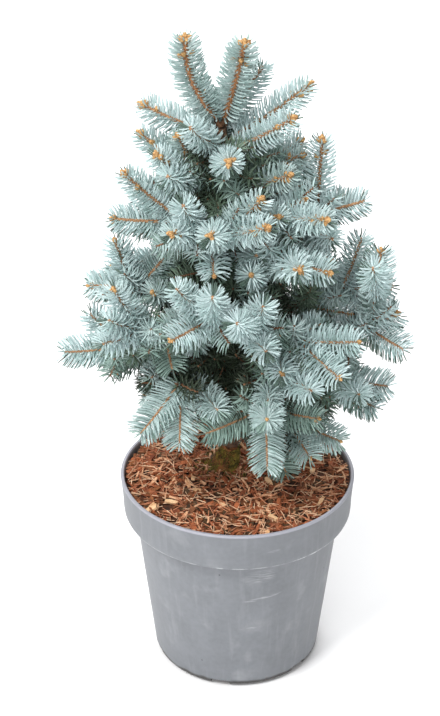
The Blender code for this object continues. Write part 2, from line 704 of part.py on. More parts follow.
def main():
    """Build the plant and its pot."""
    for old in list(bpy.data.objects):
        bpy.data.objects.remove(old, do_unlink=True)
    finishes = {
        "bark": material("bark", (0.14, 0.08, 0.05), 0.9),
        "needles": material("blue_needles", (0.27, 0.42, 0.44), 0.6),
    }
    space = Space()
    make_pot()
    make_growing_medium()
    make_trunk(space, finishes["bark"])
    grown = []
    for owner, limb in enumerate(LEADERS + LIMBS):
        if limb in LEADERS:
            path, seat = leader_path(limb, LEADER_POINTS), bearing(0, 90)
        else:
            path, seat = limb_path(limb, PATH_POINTS), bearing(limb.azimuth, 0)
        grown.append((limb, *make_limb(limb, path, owner, space, finishes, seat)))
    foliage = []
    for owner, (limb, core, stem) in enumerate(grown):
        foliage.append((owner, core, limb_shoots(limb, stem, owner, space)))
    for owner, core, shoots in foliage:
        for shoot in shoots:
            grow_needles(shoot, owner, space)
        fuse(core, [shoot_object(shoot, finishes["needles"]) for shoot in shoots])


if __name__ == "__main__":
    main()
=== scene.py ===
"""Looks of a young blue spruce in a grey nursery pot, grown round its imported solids.

Lengths are in metres unless a name ends in _mm, but those of litter, limbs, shoots and twigs are in
millimetres. A heading of 0 is +X and 90 is +Y, and a rise is above the horizontal, both in degrees.
The limbs and the rule that grows them are those of the solids, carried on to finer twigs and to
needles of their real length.
"""

from __future__ import annotations

import logging
import math
from dataclasses import dataclass, field, replace
from enum import Enum

import bpy
import numpy as np
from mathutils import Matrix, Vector


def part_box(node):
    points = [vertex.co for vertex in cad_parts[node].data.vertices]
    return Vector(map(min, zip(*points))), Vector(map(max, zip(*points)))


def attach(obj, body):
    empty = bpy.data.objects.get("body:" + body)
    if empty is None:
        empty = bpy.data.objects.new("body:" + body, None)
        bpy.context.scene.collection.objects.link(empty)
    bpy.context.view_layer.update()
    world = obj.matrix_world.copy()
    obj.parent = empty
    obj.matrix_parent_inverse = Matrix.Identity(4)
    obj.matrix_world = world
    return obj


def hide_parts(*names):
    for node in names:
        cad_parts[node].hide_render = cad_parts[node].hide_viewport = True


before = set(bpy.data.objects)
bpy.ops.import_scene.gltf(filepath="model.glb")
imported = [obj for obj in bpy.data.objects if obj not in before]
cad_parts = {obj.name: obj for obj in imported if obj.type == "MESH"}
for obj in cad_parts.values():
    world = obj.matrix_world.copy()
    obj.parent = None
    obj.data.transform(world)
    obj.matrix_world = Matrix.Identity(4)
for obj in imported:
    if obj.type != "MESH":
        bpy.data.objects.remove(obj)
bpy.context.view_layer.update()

MM = 0.001
GOLDEN_ANGLE = math.pi * (3 - math.sqrt(5))
MOST_TRIANGLES = 190_000
MOST_SPRAY_TRIANGLES = 6_000
UP = np.array((0.0, 0.0, 1.0))
CROWN_AXIS = np.array((-14 * MM, 2 * MM, 0.0))
LIGHT_SIDE = np.array((0.0, -1.0, 0.0))
BODY = "root"
LOG = logging.getLogger("blue_spruce")

Array = np.ndarray
Rng = np.random.Generator
Material = bpy.types.Material
Piece = bpy.types.Object
Shape = tuple[Array, list[Array]]
Span = tuple[float, float]
Triple = tuple[float, float, float]
Colour = tuple[float, float, float, float]


def rgb(red: int, green: int, blue: int) -> Colour:
    """A linear colour from display values of 0 to 255."""
    values = (np.array((red, green, blue)) / 255.0).tolist()
    linear = [v / 12.92 if v <= 0.04045 else ((v + 0.055) / 1.055) ** 2.4 for v in values]
    return (linear[0], linear[1], linear[2], 1.0)


def bearing(heading: float, rise: float) -> Array:
    """The unit vector with this heading and rise, in degrees."""
    turn, lift = math.radians(heading), math.radians(rise)
    return np.array((math.cos(lift) * math.cos(turn), math.cos(lift) * math.sin(turn), math.sin(lift)))


def compass(angles: Array, height: float = 0.0) -> Array:
    """Level unit vectors at angles in radians, each with this height as its z."""
    return np.stack([np.cos(angles), np.sin(angles), np.full_like(angles, height)], -1)


def turns(count: int, start: float = 0.0) -> Array:
    """The angles of equal steps round a circle, in radians, the first of them start steps on."""
    return 2 * math.pi * (np.arange(count) + start) / count


def unit(vectors: Array) -> Array:
    """The vectors along the last axis at length one."""
    return vectors / np.maximum(np.linalg.norm(vectors, axis=-1, keepdims=True), 1e-12)


def ripple(points: Array, wave: float, seed: int, layers: int = 4) -> Array:
    """A smooth seeded height between about -1 and 1 at each point.

    Args:
        points: Places in metres, with three values along the last axis.
        wave: Length of the longest waves, in metres.
        seed: Chooses the directions and phases.
        layers: How many waves of each length are summed.

    Returns:
        One height for each point.
    """
    rng = np.random.default_rng(seed)
    total = np.zeros(points.shape[:-1])
    for octave in range(3):
        for _ in range(layers):
            way = unit(rng.normal(size=3)) * 2 * math.pi * 2 ** octave / wave
            total += np.sin(points @ way + rng.uniform(0, 2 * math.pi)) * 0.6 ** octave
    return total / layers


# Shader graphs


@dataclass(frozen=True)
class Signal:
    """A value that varies over the surface. Arithmetic on it adds math nodes to its graph."""

    graph: Graph
    socket: bpy.types.NodeSocket

    def __add__(self, other: object) -> Signal:
        """The sum of this and a signal or number."""
        return self.graph.math("ADD", self, other)

    def __sub__(self, other: object) -> Signal:
        """This less a signal or number."""
        return self.graph.math("SUBTRACT", self, other)

    def __mul__(self, other: object) -> Signal:
        """The product of this and a signal or number."""
        return self.graph.math("MULTIPLY", self, other)

    def span(self, low: float, high: float) -> Signal:
        """How far this has come from low to high, from 0 to 1 and smoothed."""
        feeds = {"Value": self, "From Min": low, "From Max": high}
        made = self.graph.node("MapRange", feeds, interpolation_type="SMOOTHSTEP")
        return Signal(self.graph, made.outputs["Result"])


class Graph:
    """Short ways to add and join the nodes of one node tree."""

    def __init__(self, tree: bpy.types.NodeTree) -> None:
        """Work on this tree."""
        self.tree = tree

    def feed(self, socket: bpy.types.NodeSocket, value: object) -> None:
        """Join an input to a signal, or set it to a plain value."""
        if isinstance(value, Signal):
            self.tree.links.new(value.socket, socket)
        else:
            socket.default_value = value

    def node(self, kind: str, feeds: dict | None = None, **settings: object) -> bpy.types.Node:
        """Add a node.

        Args:
            kind: Its kind, such as TexNoise.
            feeds: What feeds its inputs, by their names or numbers.
            **settings: Its own settings.

        Returns:
            The new node.
        """
        made = self.tree.nodes.new("ShaderNode" + kind)
        for name, value in settings.items():
            setattr(made, name, value)
        for name, value in (feeds or {}).items():
            self.feed(made.inputs[name], value)
        return made

    def math(self, operation: str, *values: object, clamp: bool = False) -> Signal:
        """The result of a math node on signals or numbers."""
        made = self.node("Math", dict(enumerate(values)), operation=operation, use_clamp=clamp)
        return Signal(self, made.outputs[0])

    def mix(self, share: Signal, first: Signal | Colour, second: Signal | Colour) -> Signal:
        """The colour that has come this share of the way from the first to the second."""
        made = self.node("Mix", data_type="RGBA")
        sockets = {socket.identifier: socket for socket in (*made.inputs, *made.outputs)}
        for name, value in (("Factor_Float", share), ("A_Color", first), ("B_Color", second)):
            self.feed(sockets[name], value)
        return Signal(self, sockets["Result_Color"])

    def place(self, stretch: Triple = (1, 1, 1)) -> Signal:
        """The place on the object, stretched along each axis."""
        spot = Signal(self, self.node("TexCoord").outputs["Object"])
        if stretch == (1, 1, 1):
            return spot
        made = self.node("VectorMath", {0: spot, 1: stretch}, operation="MULTIPLY")
        return Signal(self, made.outputs[0])

    def axes(self) -> list[Signal]:
        """The place on the object along X, Y and Z."""
        made = self.node("SeparateXYZ", {0: self.place()})
        return [Signal(self, socket) for socket in made.outputs]

    def noise(self, scale: Signal | float, detail: float, stretch: Triple = (1, 1, 1)) -> Signal:
        """A noise value with a scale, in waves per metre, and octaves of detail."""
        made = self.node("TexNoise", {"Vector": self.place(stretch), "Scale": scale, "Detail": detail})
        return Signal(self, made.outputs["Fac"])


class SharedEffect(Enum):
    """The node groups that several finishes place with their own values."""

    MOTTLE = "mottle"
    CRUMBLE = "crumble"

    def group(self) -> bpy.types.NodeTree:
        """This effect's node group, built the first time that it is asked for."""
        found = bpy.data.node_groups.get(self.value)
        return found or {"mottle": build_mottle, "crumble": build_crumble}[self.value]()

    def place(self, graph: Graph, **values: object) -> dict[str, Signal]:
        """Add the group to a graph.

        Args:
            graph: Where the group is placed.
            **values: A signal or a plain value for each input.

        Returns:
            What it puts out, by name.
        """
        feeds = {name.title(): value for name, value in values.items()}
        made = graph.node("Group", feeds, node_tree=self.group())
        return {socket.name: Signal(graph, socket) for socket in made.outputs}


def new_group(name: str, inputs: dict[str, str], outputs: dict[str, str]) -> tuple[Graph, dict, dict]:
    """Start a node group with named sockets.

    Args:
        name: The group's name.
        inputs: Socket kinds by name.
        outputs: Socket kinds by name.

    Returns:
        Its graph, the signals it is given and the sockets it puts out, by name.
    """
    tree = bpy.data.node_groups.new(name, "ShaderNodeTree")
    graph = Graph(tree)
    for direction, sockets in (("INPUT", inputs), ("OUTPUT", outputs)):
        for label, kind in sockets.items():
            tree.interface.new_socket(label, in_out=direction, socket_type="NodeSocket" + kind)
    start, end = tree.nodes.new("NodeGroupInput"), tree.nodes.new("NodeGroupOutput")
    return graph, {s.name: Signal(graph, s) for s in start.outputs}, {s.name: s for s in end.inputs}


def build_mottle() -> bpy.types.NodeTree:
    """Patches of two colours, broken up by patches 6.3 times finer."""
    graph, given, out = new_group(
        "mottle", {"Dark": "Color", "Light": "Color", "Patch": "Float", "Contrast": "Float"},
        {"Color": "Color", "Mask": "Float"})
    both = graph.noise(given["Patch"], 2.0) * 0.6 + graph.noise(given["Patch"] * 6.3, 4.0) * 0.4
    mask = graph.math("ADD", (both - 0.5) * given["Contrast"], 0.5, clamp=True)
    graph.feed(out["Mask"], mask)
    graph.feed(out["Color"], graph.mix(mask, given["Dark"], given["Light"]))
    return graph.tree


def build_crumble() -> bpy.types.NodeTree:
    """The height of a rough surface: small lumps with a finer grain on them."""
    graph, given, out = new_group("crumble", {"Lumps": "Float", "Grain": "Float"}, {"Height": "Float"})
    graph.feed(out["Height"], graph.noise(given["Lumps"], 2.0) + graph.noise(given["Grain"], 5.0) * 0.35)
    return graph.tree


def new_material(name: str, roughness: float) -> tuple[Material, Graph, bpy.types.Node]:
    """A new material with its graph and its Principled shader, which has this roughness."""
    made = bpy.data.materials.new(name)
    made.use_nodes = True
    shader = made.node_tree.nodes["Principled BSDF"]
    shader.inputs["Roughness"].default_value = roughness
    return made, Graph(made.node_tree), shader


def add_bump(graph: Graph, shader: bpy.types.Node, height: Signal, depth: float) -> None:
    """Feed a height to the shader's normal, with its depth in metres."""
    bump = graph.node("Bump", {"Strength": 1.0, "Distance": depth, "Height": height})
    graph.feed(shader.inputs["Normal"], Signal(graph, bump.outputs["Normal"]))


@dataclass(frozen=True)
class NaturalFinish:
    """Bark, twig, bud, mulch or moss: two close colours in patches over a crumbled surface."""

    name: str
    dark: Colour
    light: Colour
    patch: float = 120.0
    contrast: float = 3.0
    lumps: float = 400.0
    grain: float = 1500.0
    depth: float = 0.4 * MM
    roughness: float = 0.85

    def material(self) -> Material:
        """The finish as a material."""
        made, graph, shader = new_material(self.name, self.roughness)
        mottle = SharedEffect.MOTTLE.place(
            graph, dark=self.dark, light=self.light, patch=self.patch, contrast=self.contrast)
        graph.feed(shader.inputs["Base Color"], mottle["Color"])
        crumble = SharedEffect.CRUMBLE.place(graph, lumps=self.lumps, grain=self.grain)
        add_bump(graph, shader, crumble["Height"], self.depth)
        return made


@dataclass(frozen=True)
class NeedleFinish:
    """Waxy needles: one tint with a faint drift, and the dull sheen of their bloom."""

    name: str
    deep: Colour
    bloom: Colour
    patch: float = 70.0
    contrast: float = 2.4
    roughness: float = 0.5
    sheen: float = 0.06
    sheen_roughness: float = 0.4

    def material(self) -> Material:
        """The finish as a material."""
        made, graph, shader = new_material(self.name, self.roughness)
        mottle = SharedEffect.MOTTLE.place(
            graph, dark=self.deep, light=self.bloom, patch=self.patch, contrast=self.contrast)
        graph.feed(shader.inputs["Base Color"], mottle["Color"])
        shader.inputs["Sheen Weight"].default_value = self.sheen
        shader.inputs["Sheen Roughness"].default_value = self.sheen_roughness
        return made


# Meshes


@dataclass
class MeshPile:
    """Points and faces of many small shapes, to be joined into one piece."""

    points: list[Array] = field(default_factory=list)
    faces: list[Array] = field(default_factory=list)
    total: int = 0

    def add(self, shape: Shape) -> None:
        """Add a shape's points and its arrays of faces, each of one number of corners."""
        points, faces = shape
        self.points.append(points)
        self.faces += [part + self.total for part in faces]
        self.total += len(points)

    def triangles(self) -> int:
        """How many triangles the faces come to."""
        return sum(len(part) * (part.shape[1] - 2) for part in self.faces)

    def build(self, name: str, finish: Material, sharp: float) -> Piece:
        """Join everything into one smooth-shaded object.

        Args:
            name: The piece's name.
            finish: Its material.
            sharp: The angle over which an edge stays sharp, in degrees.

        Returns:
            The new object.
        """
        mesh = bpy.data.meshes.new(name)
        points = np.concatenate(self.points).astype(np.float32)
        corners = np.concatenate([part.reshape(-1) for part in self.faces]).astype(np.int32)
        sizes = np.concatenate([np.full(len(part), part.shape[1]) for part in self.faces])
        starts = np.concatenate([[0], np.cumsum(sizes)[:-1]]).astype(np.int32)
        mesh.vertices.add(len(points))
        mesh.vertices.foreach_set("co", points.reshape(-1))
        mesh.loops.add(len(corners))
        mesh.loops.foreach_set("vertex_index", corners)
        mesh.polygons.add(len(sizes))
        mesh.polygons.foreach_set("loop_start", starts)
        mesh.update(calc_edges=True)
        mesh.validate()
        mesh.shade_smooth()
        mesh.set_sharp_from_angle(angle=math.radians(sharp))
        mesh.materials.append(finish)
        made = bpy.data.objects.new(name, mesh)
        bpy.context.scene.collection.objects.link(made)
        return made


def build_shape(name: str, shape: Shape, finish: Material, sharp: float) -> Piece:
    """One shape as an object with this material, whose edges over an angle in degrees stay sharp."""
    pile = MeshPile()
    pile.add(shape)
    return pile.build(name, finish, sharp)


def sweep(centres: Array, across: Array, radii: Array, corners: int, *, pointed: bool = True,
          relief: Array | float = 1.0, twist: float = 0.0) -> Shape:
    """Closed tubes along many short lines, all with the same number of rings.

    Args:
        centres: Ring centres, as (line, ring, 3). A pointed tube ends on its last one.
        across: A rough sideways direction for each line, as (line, 3).
        radii: Half widths for the rings, as (line, ring), or (line, ring, 2) where those across and
            square to that differ.
        corners: Corners of each ring.
        pointed: Whether the tube closes on a point.
        relief: Factors on the radius of each corner, as (line, ring, corner).
        twist: Turn of each ring against the last, in radians.

    Returns:
        The points and the arrays of faces.
    """
    ways = unit(np.gradient(centres, axis=1))
    lines, rings = radii.shape[:2]
    side = across[:, None] - ways * (across[:, None] * ways).sum(-1, keepdims=True)
    side = unit(side)[:, :rings]
    rise = np.cross(ways[:, :rings], side)
    angles = turns(corners, 0.5) + twist * np.arange(rings)[:, None]
    square = math.sqrt(2) if corners == 4 else 1.0
    if radii.ndim == 2:
        radii = np.repeat(radii[..., None], 2, axis=2)
    wide = (np.cos(angles)[None] * radii[..., :1] * relief * square)[..., None]
    tall = (np.sin(angles)[None] * radii[..., 1:] * relief * square)[..., None]
    points = (centres[:, :rings, None] + side[:, :, None] * wide + rise[:, :, None] * tall).reshape(-1, 3)
    first = (np.arange(lines) * rings * corners)[:, None, None]
    step = np.arange(corners)[None, None, :]
    after = (step + 1) % corners
    low = first + (np.arange(rings - 1) * corners)[None, :, None]
    quads = np.stack([low + step, low + after, low + corners + after, low + corners + step], -1)
    faces = [quads.reshape(-1, 4), first[:, 0] + np.arange(corners)[::-1][None]]
    last = first[:, 0] + (rings - 1) * corners
    if not pointed:
        return points, faces + [last + np.arange(corners)[None]]
    tips = len(points) + np.arange(lines)[:, None]
    ends = np.stack([last + step[0], last + after[0], np.broadcast_to(tips, (lines, corners))], -1)
    return np.concatenate([points, centres[:, -1]]), faces + [ends.reshape(-1, 3)]


def tube(line: Array, side: Array, radii: Array, corners: int, relief: Array) -> Shape:
    """One blunt tube along a line.

    Args:
        line: Ring centres.
        side: A rough sideways direction.
        radii: The radius of each ring.
        corners: Corners of each ring.
        relief: Factors on the radius of each corner, as (ring, corner).

    Returns:
        The points and the arrays of faces.
    """
    return sweep(line[None], side[None], radii[None], corners, pointed=False, relief=relief[None])


def lathe(profile: Array, segments: int) -> Shape:
    """A solid turned round Z.

    Args:
        profile: Rows of (radius, height) that start and end on the axis.
        segments: Corners round the axis.

    Returns:
        The points and the arrays of faces.
    """
    rows = profile[1:-1]
    around = compass(turns(segments))[:, :2]
    rings = np.concatenate([rows[:, None, :1] * around, np.broadcast_to(
        rows[:, None, 1:], (len(rows), segments, 1))], -1)
    ends = np.array([(0, 0, profile[0, 1]), (0, 0, profile[-1, 1])])
    points = np.concatenate([rings.reshape(-1, 3), ends])
    step = np.arange(segments)
    after = (step + 1) % segments
    low = (np.arange(len(rows) - 1) * segments)[:, None]
    quads = np.stack([low + step, low + after, low + segments + after, low + segments + step], -1)
    top = (len(rows) - 1) * segments
    under = np.stack([np.full(segments, len(points) - 2), after, step], -1)
    over = np.stack([top + step, top + after, np.full(segments, len(points) - 1)], -1)
    return points, [quads.reshape(-1, 4), under, over]


class Line:
    """A smooth line with a frame that is carried along it without spinning."""

    def __init__(self, points: Array, spacing: float) -> None:
        """Run a smooth line through the points, with a point about every spacing."""
        chords = np.linalg.norm(np.diff(points, axis=0), axis=1)
        knots = np.concatenate([[0], np.cumsum(chords)])
        slopes = np.gradient(points, knots, axis=0)
        count = max(5, int(math.ceil(knots[-1] / spacing)) + 1)
        wanted = np.linspace(0, knots[-1], count)
        index = np.clip(np.searchsorted(knots, wanted, side="right") - 1, 0, len(points) - 2)
        width = (knots[index + 1] - knots[index])[:, None]
        t = (wanted - knots[index])[:, None] / width
        ends = points[index] * (1 + 2 * t) * (1 - t) ** 2 + points[index + 1] * t * t * (3 - 2 * t)
        bend = slopes[index] * width * t * (1 - t) ** 2
        self.points = ends + bend - slopes[index + 1] * width * t * t * (1 - t)
        self.length = float(knots[-1])
        self.ways = unit(np.gradient(self.points, axis=0))
        side = np.cross(self.ways[0], (0, 0, 1) if abs(self.ways[0][2]) < 0.9 else (1, 0, 0))
        sides = []
        for way in self.ways:
            side = unit(side - way * np.dot(side, way))
            sides.append(side)
        self.sides = np.array(sides)

    def at(self, places: Array) -> tuple[Array, Array, Array, Array]:
        """The points and the three directions of the frame at places from 0 to 1."""
        index = np.asarray(places) * (len(self.points) - 1)
        low = np.minimum(index.astype(int), len(self.points) - 2)
        share = (index - low)[..., None]
        point, way, side = (rows[low] * (1 - share) + rows[low + 1] * share
                            for rows in (self.points, self.ways, self.sides))
        return point, unit(way), unit(side), np.cross(unit(way), unit(side))

    def frame_at(self, place: float) -> tuple[Array, Array, Array, Array]:
        """The point and the three directions of the frame at one place from 0 to 1."""
        point, way, side, rise = (rows[0] for rows in self.at(np.array([place])))
        return point, way, side, rise


def join_to_body(piece: Piece, slot: str, *nodes: str) -> Piece:
    """Let a piece ride on the plant's body and stand for CAD nodes."""
    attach(piece, BODY)
    if nodes:
        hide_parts(*nodes)
    LOG.info("%s: %d faces", piece.name, len(piece.data.polygons))
    return piece


# The pot and what fills it


@dataclass(frozen=True)
class Scuff:
    """A pale rubbed mark on the pot: where it is, how far it reaches and how it slants."""

    heading: float
    height: float
    reach: float
    depth: float
    slant: float
    strength: float


@dataclass(frozen=True)
class PlasticFinish:
    """Worn grey plastic: dusty mottling, moulding streaks, scuffs, specks and a dirty foot, with painted
    shade on the collar, a painted shadow under it and a painted highlight on the lip.

    Each strength is how far a mark covers the plastic under it, from 0 to 1.
    """

    name: str = "worn_grey_plastic"
    dark: Colour = rgb(101, 104, 108)
    light: Colour = rgb(133, 136, 141)
    dust: Colour = rgb(192, 194, 197)
    rubbed: Colour = rgb(222, 224, 226)
    # The next two colours are painted light: a shadow under the collar and a highlight along the lip.
    shadow: Colour = rgb(58, 58, 60)
    sheen: Colour = rgb(196, 194, 206)
    grime: Colour = rgb(44, 40, 34)
    speck: Colour = rgb(60, 62, 66)
    streak_strength: float = 0.10
    bloom_strength: float = 0.16
    scuff_strength: float = 0.7
    edge_strength: float = 0.9
    # The next three strengths are of painted light: the shadow under the collar, shade over the collar and
    # the lip's highlight.
    shadow_strength: float = 0.55
    collar_shade_strength: float = 0.16
    lip_highlight_strength: float = 0.42
    grime_strength: float = 0.9
    speck_strength: float = 0.75
    relief_depth: float = 0.12 * MM
    scuffs: tuple[Scuff, ...] = (
        Scuff(282, 0.146, 0.021, 0.010, 0.10, 0.55),
        Scuff(284, 0.118, 0.024, 0.0022, 0.16, 0.8),
        Scuff(277, 0.080, 0.012, 0.0014, 0.05, 0.7),
        Scuff(292, 0.158, 0.010, 0.0030, 0.12, 0.5),
        Scuff(287, 0.184, 0.008, 0.0016, 0.10, 0.6),
        Scuff(96, 0.132, 0.022, 0.0030, -0.12, 0.6),
        Scuff(38, 0.096, 0.014, 0.0018, 0.1, 0.6),
        Scuff(168, 0.110, 0.018, 0.0060, 0.06, 0.4),
    )

    def mark(self, graph: Graph, scuff: Scuff) -> Signal:
        """Where one scuff shows, as an oval broken into fine strokes."""
        turn = math.radians(scuff.heading)
        x, y, z = graph.axes()
        along = y * math.cos(turn) - x * math.sin(turn)
        outward = x * math.cos(turn) + y * math.sin(turn)
        far = along * (1 / scuff.reach)
        high = (z - scuff.height - along * scuff.slant) * (1 / scuff.depth)
        inside = (far * far + high * high).span(1.0, 0.1)
        strokes = graph.noise(1.0, 4.0, (90, 90, 1100)).span(0.40, 0.68)
        return inside * strokes * outward.span(0.0, 0.03)

    def material(self, step: float, rim: float) -> Material:
        """The finish as a material.

        Args:
            step: Height of the collar's lower edge.
            rim: Height of the lip.

        Returns:
            The new material.
        """
        made, graph, shader = new_material(self.name, 0.5)
        mottle = SharedEffect.MOTTLE.place(
            graph, dark=self.dark, light=self.light, patch=34.0, contrast=1.2)
        level = graph.axes()[2]
        streaks = graph.noise(1.0, 3.0, (160, 160, 7))
        on_edge = level.span(step - 0.4 * MM, step + 1.4 * MM) * level.span(step + 4.5 * MM, step + 2.0 * MM)
        flecks = graph.noise(110.0, 5.0).span(0.42, 0.60) * graph.noise(14.0, 2.0).span(0.36, 0.58)
        # Painted shadow: a dark band just under the collar's overhanging edge.
        under_collar_shadow = level.span(step - 5.5 * MM, step - 1.2 * MM) * level.span(step + 0.9 * MM, step + 0.2 * MM)
        foot = (level + graph.noise(55.0, 5.0) * (-9 * MM)).span(4.6 * MM, 1.4 * MM)
        dots = graph.node("TexVoronoi", {"Vector": graph.place(), "Scale": 34.0}, feature="F1")
        marks = [
            (streaks.span(0.52, 0.78), self.streak_strength, self.dust),
            (graph.noise(38.0, 6.0).span(0.55, 0.75), self.bloom_strength, self.dust),
            *((self.mark(graph, scuff), scuff.strength * self.scuff_strength, self.dust)
              for scuff in self.scuffs),
            (on_edge * flecks, self.edge_strength, self.rubbed),
            # Painted shadow under the collar's edge.
            (under_collar_shadow, self.shadow_strength, self.shadow),
            # Painted shade: the whole collar darkened, for the duller light on its face.
            (level.span(step + 3 * MM, step + 9 * MM), self.collar_shade_strength, self.dark),
            # Painted highlight along the top of the lip.
            (level.span(rim - 2.6 * MM, rim - 1.4 * MM), self.lip_highlight_strength, self.sheen),
            (foot, self.grime_strength, self.grime),
            (Signal(graph, dots.outputs["Distance"]).span(0.036, 0.022), self.speck_strength, self.speck),
        ]
        colour = mottle["Color"]
        for mask, strength, tone in marks:
            colour = graph.mix(mask * strength, colour, tone)
        graph.feed(shader.inputs["Base Color"], colour)
        graph.feed(shader.inputs["Roughness"], mottle["Mask"] * 0.16 + 0.42)
        crumble = SharedEffect.CRUMBLE.place(graph, lumps=90.0, grain=1800.0)
        add_bump(graph, shader, crumble["Height"] + streaks * 0.8, self.relief_depth)
        return made


@dataclass(frozen=True)
class Pot:
    """The round nursery pot, with a collar under its lip and notches in its foot."""

    rim_radius: float = 115 * MM
    height: float = 205 * MM
    collar_height: float = 42 * MM
    collar_taper: float = 2.5 * MM
    body_top_radius: float = 101.5 * MM
    body_foot_radius: float = 83 * MM
    foot_rounding: float = 8 * MM
    wall: float = 2.2 * MM
    lip_width: float = 3.6 * MM
    lip_rounding: float = 1.5 * MM
    floor: float = 6 * MM
    collar_edge_mm: tuple[Span, ...] = ((6.5, 0.1), (2.6, 0.9), (0.9, 2.2), (0.1, 4.2), (0.0, 6.5))
    collar_hollow: float = 0.5 * MM
    notches: int = 6
    notch_size: Triple = (14 * MM, 19 * MM, 7.0 * MM)
    notch_turn: float = 18.0
    segments: int = 180
    sharp: float = 38.0

    @property
    def step(self) -> float:
        """Height of the collar's lower edge."""
        return self.height - self.collar_height

    def body_radius(self, height: float) -> float:
        """The outer radius of the body at a height below the collar."""
        share = height / self.step
        return self.body_foot_radius + (self.body_top_radius - self.body_foot_radius) * share

    def inside_radius(self, height: float) -> float:
        """The inner radius of the collar at a height."""
        share = (height - self.step) / self.collar_height
        return self.rim_radius - self.collar_taper * (1 - share) - self.lip_width

    def profile(self) -> Array:
        """The wall from the underside's centre, out, over the lip and down to the floor.

        Returns:
            Rows of (radius, height). collar_edge_mm gives those under the collar, as distances in
            from its face and up from its lower edge.
        """
        collar = self.rim_radius - self.collar_taper
        inside = self.rim_radius - self.lip_width
        rounding = self.foot_rounding
        rows = [(0.0, 0.0), (0.5 * self.body_foot_radius, 0.0)]
        rows += [(self.body_radius(rounding) - rounding * (1 - math.sin(angle)),
                  rounding * (1 - math.cos(angle))) for angle in np.radians(np.arange(0, 91, 15))]
        rows += [(self.body_radius(height), height) for height in np.linspace(0.02, self.step - 1.5 * MM, 12)]
        rows.append((self.body_radius(self.step) + 0.4 * MM, self.step - 0.4 * MM))
        rows += [(collar - inward * MM, self.step + up * MM) for inward, up in self.collar_edge_mm]
        rows += [(collar + self.collar_taper * share - self.collar_hollow * math.sin(math.pi * share) ** 2,
                  self.step + self.collar_height * share) for share in np.linspace(0.2, 0.92, 7)]
        rows += [(self.rim_radius - self.lip_rounding + self.lip_rounding * math.cos(angle),
                  self.height - self.lip_rounding + self.lip_rounding * math.sin(angle))
                 for angle in np.radians(np.arange(-10, 101, 22))]
        rows += [
            (inside + 0.8 * MM, self.height),
            (inside, self.height - 0.9 * MM),
            (inside - 0.4 * MM, self.height - 4 * MM),
            (collar - self.wall, self.step + 6 * MM),
            (self.body_radius(self.step) - self.wall, self.step - 2 * MM),
            (self.body_radius(self.floor) - self.wall, self.floor),
            (0.0, self.floor),
        ]
        return np.array(rows)

    def build(self) -> None:
        """Turn the wall, flex it a little as thin plastic does, and cut the foot's notches."""
        points, faces = lathe(self.profile(), self.segments)
        angle = np.arctan2(points[:, 1], points[:, 0])
        rise = np.clip(points[:, 2] / self.height, 0, 1) ** 2
        flex = 1 + rise * (0.0012 * np.cos(2 * angle + 0.6) + 0.0010 * np.cos(3 * angle + 2.1) - 0.0022)
        points[:, :2] *= flex[:, None]
        finish = PlasticFinish().material(self.step, self.height)
        pot = build_shape("nursery_pot", (points, faces), finish, self.sharp)
        self.cut_notches(pot)
        join_to_body(pot, "pot", "pot")

    def cut_notches(self, pot: Piece) -> None:
        """Cut the drain notches into the edge of the foot."""
        cutters = MeshPile()
        radius = self.body_radius(self.foot_rounding) - 1.5 * MM
        deep, wide, high = self.notch_size
        for number in range(self.notches):
            outward = bearing(self.notch_turn + 360 / self.notches * number, 0)
            line = outward * radius + np.array([(0, 0, -high), (0, 0, high)])
            size = np.array([[(deep / 2, wide / 2)] * 2])
            cutters.add(sweep(line[None], outward[None], size, 4, pointed=False))
        cutter = cutters.build("notch_cutter", pot.data.materials[0], self.sharp)
        cut = pot.modifiers.new("notches", "BOOLEAN")
        cut.operation = "DIFFERENCE"
        cut.solver = "EXACT"
        cut.object = cutter
        bpy.context.view_layer.update()
        shape = bpy.data.meshes.new_from_object(pot.evaluated_get(bpy.context.evaluated_depsgraph_get()))
        pot.modifiers.clear()
        pot.data = shape
        shape.set_sharp_from_angle(angle=math.radians(self.sharp))
        bpy.data.objects.remove(cutter, do_unlink=True)


@dataclass(frozen=True)
class Litter:
    """One kind of mulch: its count, the spans of its sizes and lift in millimetres, and its finish.

    bend is a share of the length, tilt is in degrees, and patch is in waves per metre.
    """

    name: str
    count: int
    length: Span
    half_width: Span
    half_depth: Span
    lift: Span
    bend: float
    tilt: float
    corners: int
    dark: Colour
    light: Colour
    patch: float
    contrast: float

    def finish(self) -> Material:
        """The material of one piece."""
        return NaturalFinish(self.name[:-1], self.dark, self.light, self.patch, self.contrast).material()


LITTER = (
    Litter("red_bark_shreds", 620, (5, 14), (0.9, 2.4), (0.3, 0.9), (-0.5, 2.2), 0.24, 16, 4,
           rgb(104, 49, 24), rgb(172, 97, 56), 140.0, 4.0),
    Litter("brown_bark_shreds", 520, (5, 13), (0.9, 2.6), (0.3, 1.0), (-0.8, 1.8), 0.22, 16, 4,
           rgb(82, 44, 21), rgb(148, 91, 51), 160.0, 4.0),
    Litter("dark_bark_shreds", 280, (5, 12), (0.9, 2.6), (0.3, 1.0), (-0.8, 1.4), 0.2, 18, 4,
           rgb(46, 30, 16), rgb(98, 72, 42), 160.0, 4.0),
    Litter("tan_bark_shreds", 190, (6, 14), (0.7, 1.5), (0.3, 0.6), (1.2, 3.4), 0.22, 16, 4,
           rgb(178, 120, 84), rgb(230, 182, 142), 120.0, 3.5),
    Litter("rust_straws", 860, (8, 20), (0.36, 0.66), (0.25, 0.45), (0.6, 3.8), 0.16, 12, 3,
           rgb(142, 80, 52), rgb(206, 138, 100), 100.0, 3.0),
    Litter("pale_straws", 560, (7, 19), (0.34, 0.64), (0.25, 0.45), (1.2, 4.2), 0.14, 12, 3,
           rgb(196, 148, 114), rgb(242, 206, 170), 100.0, 3.0),
    Litter("wood_chips", 20, (8, 14), (1.6, 3.0), (0.7, 1.3), (2.0, 3.6), 0.08, 10, 4,
           rgb(206, 154, 108), rgb(238, 200, 156), 90.0, 3.0),
)


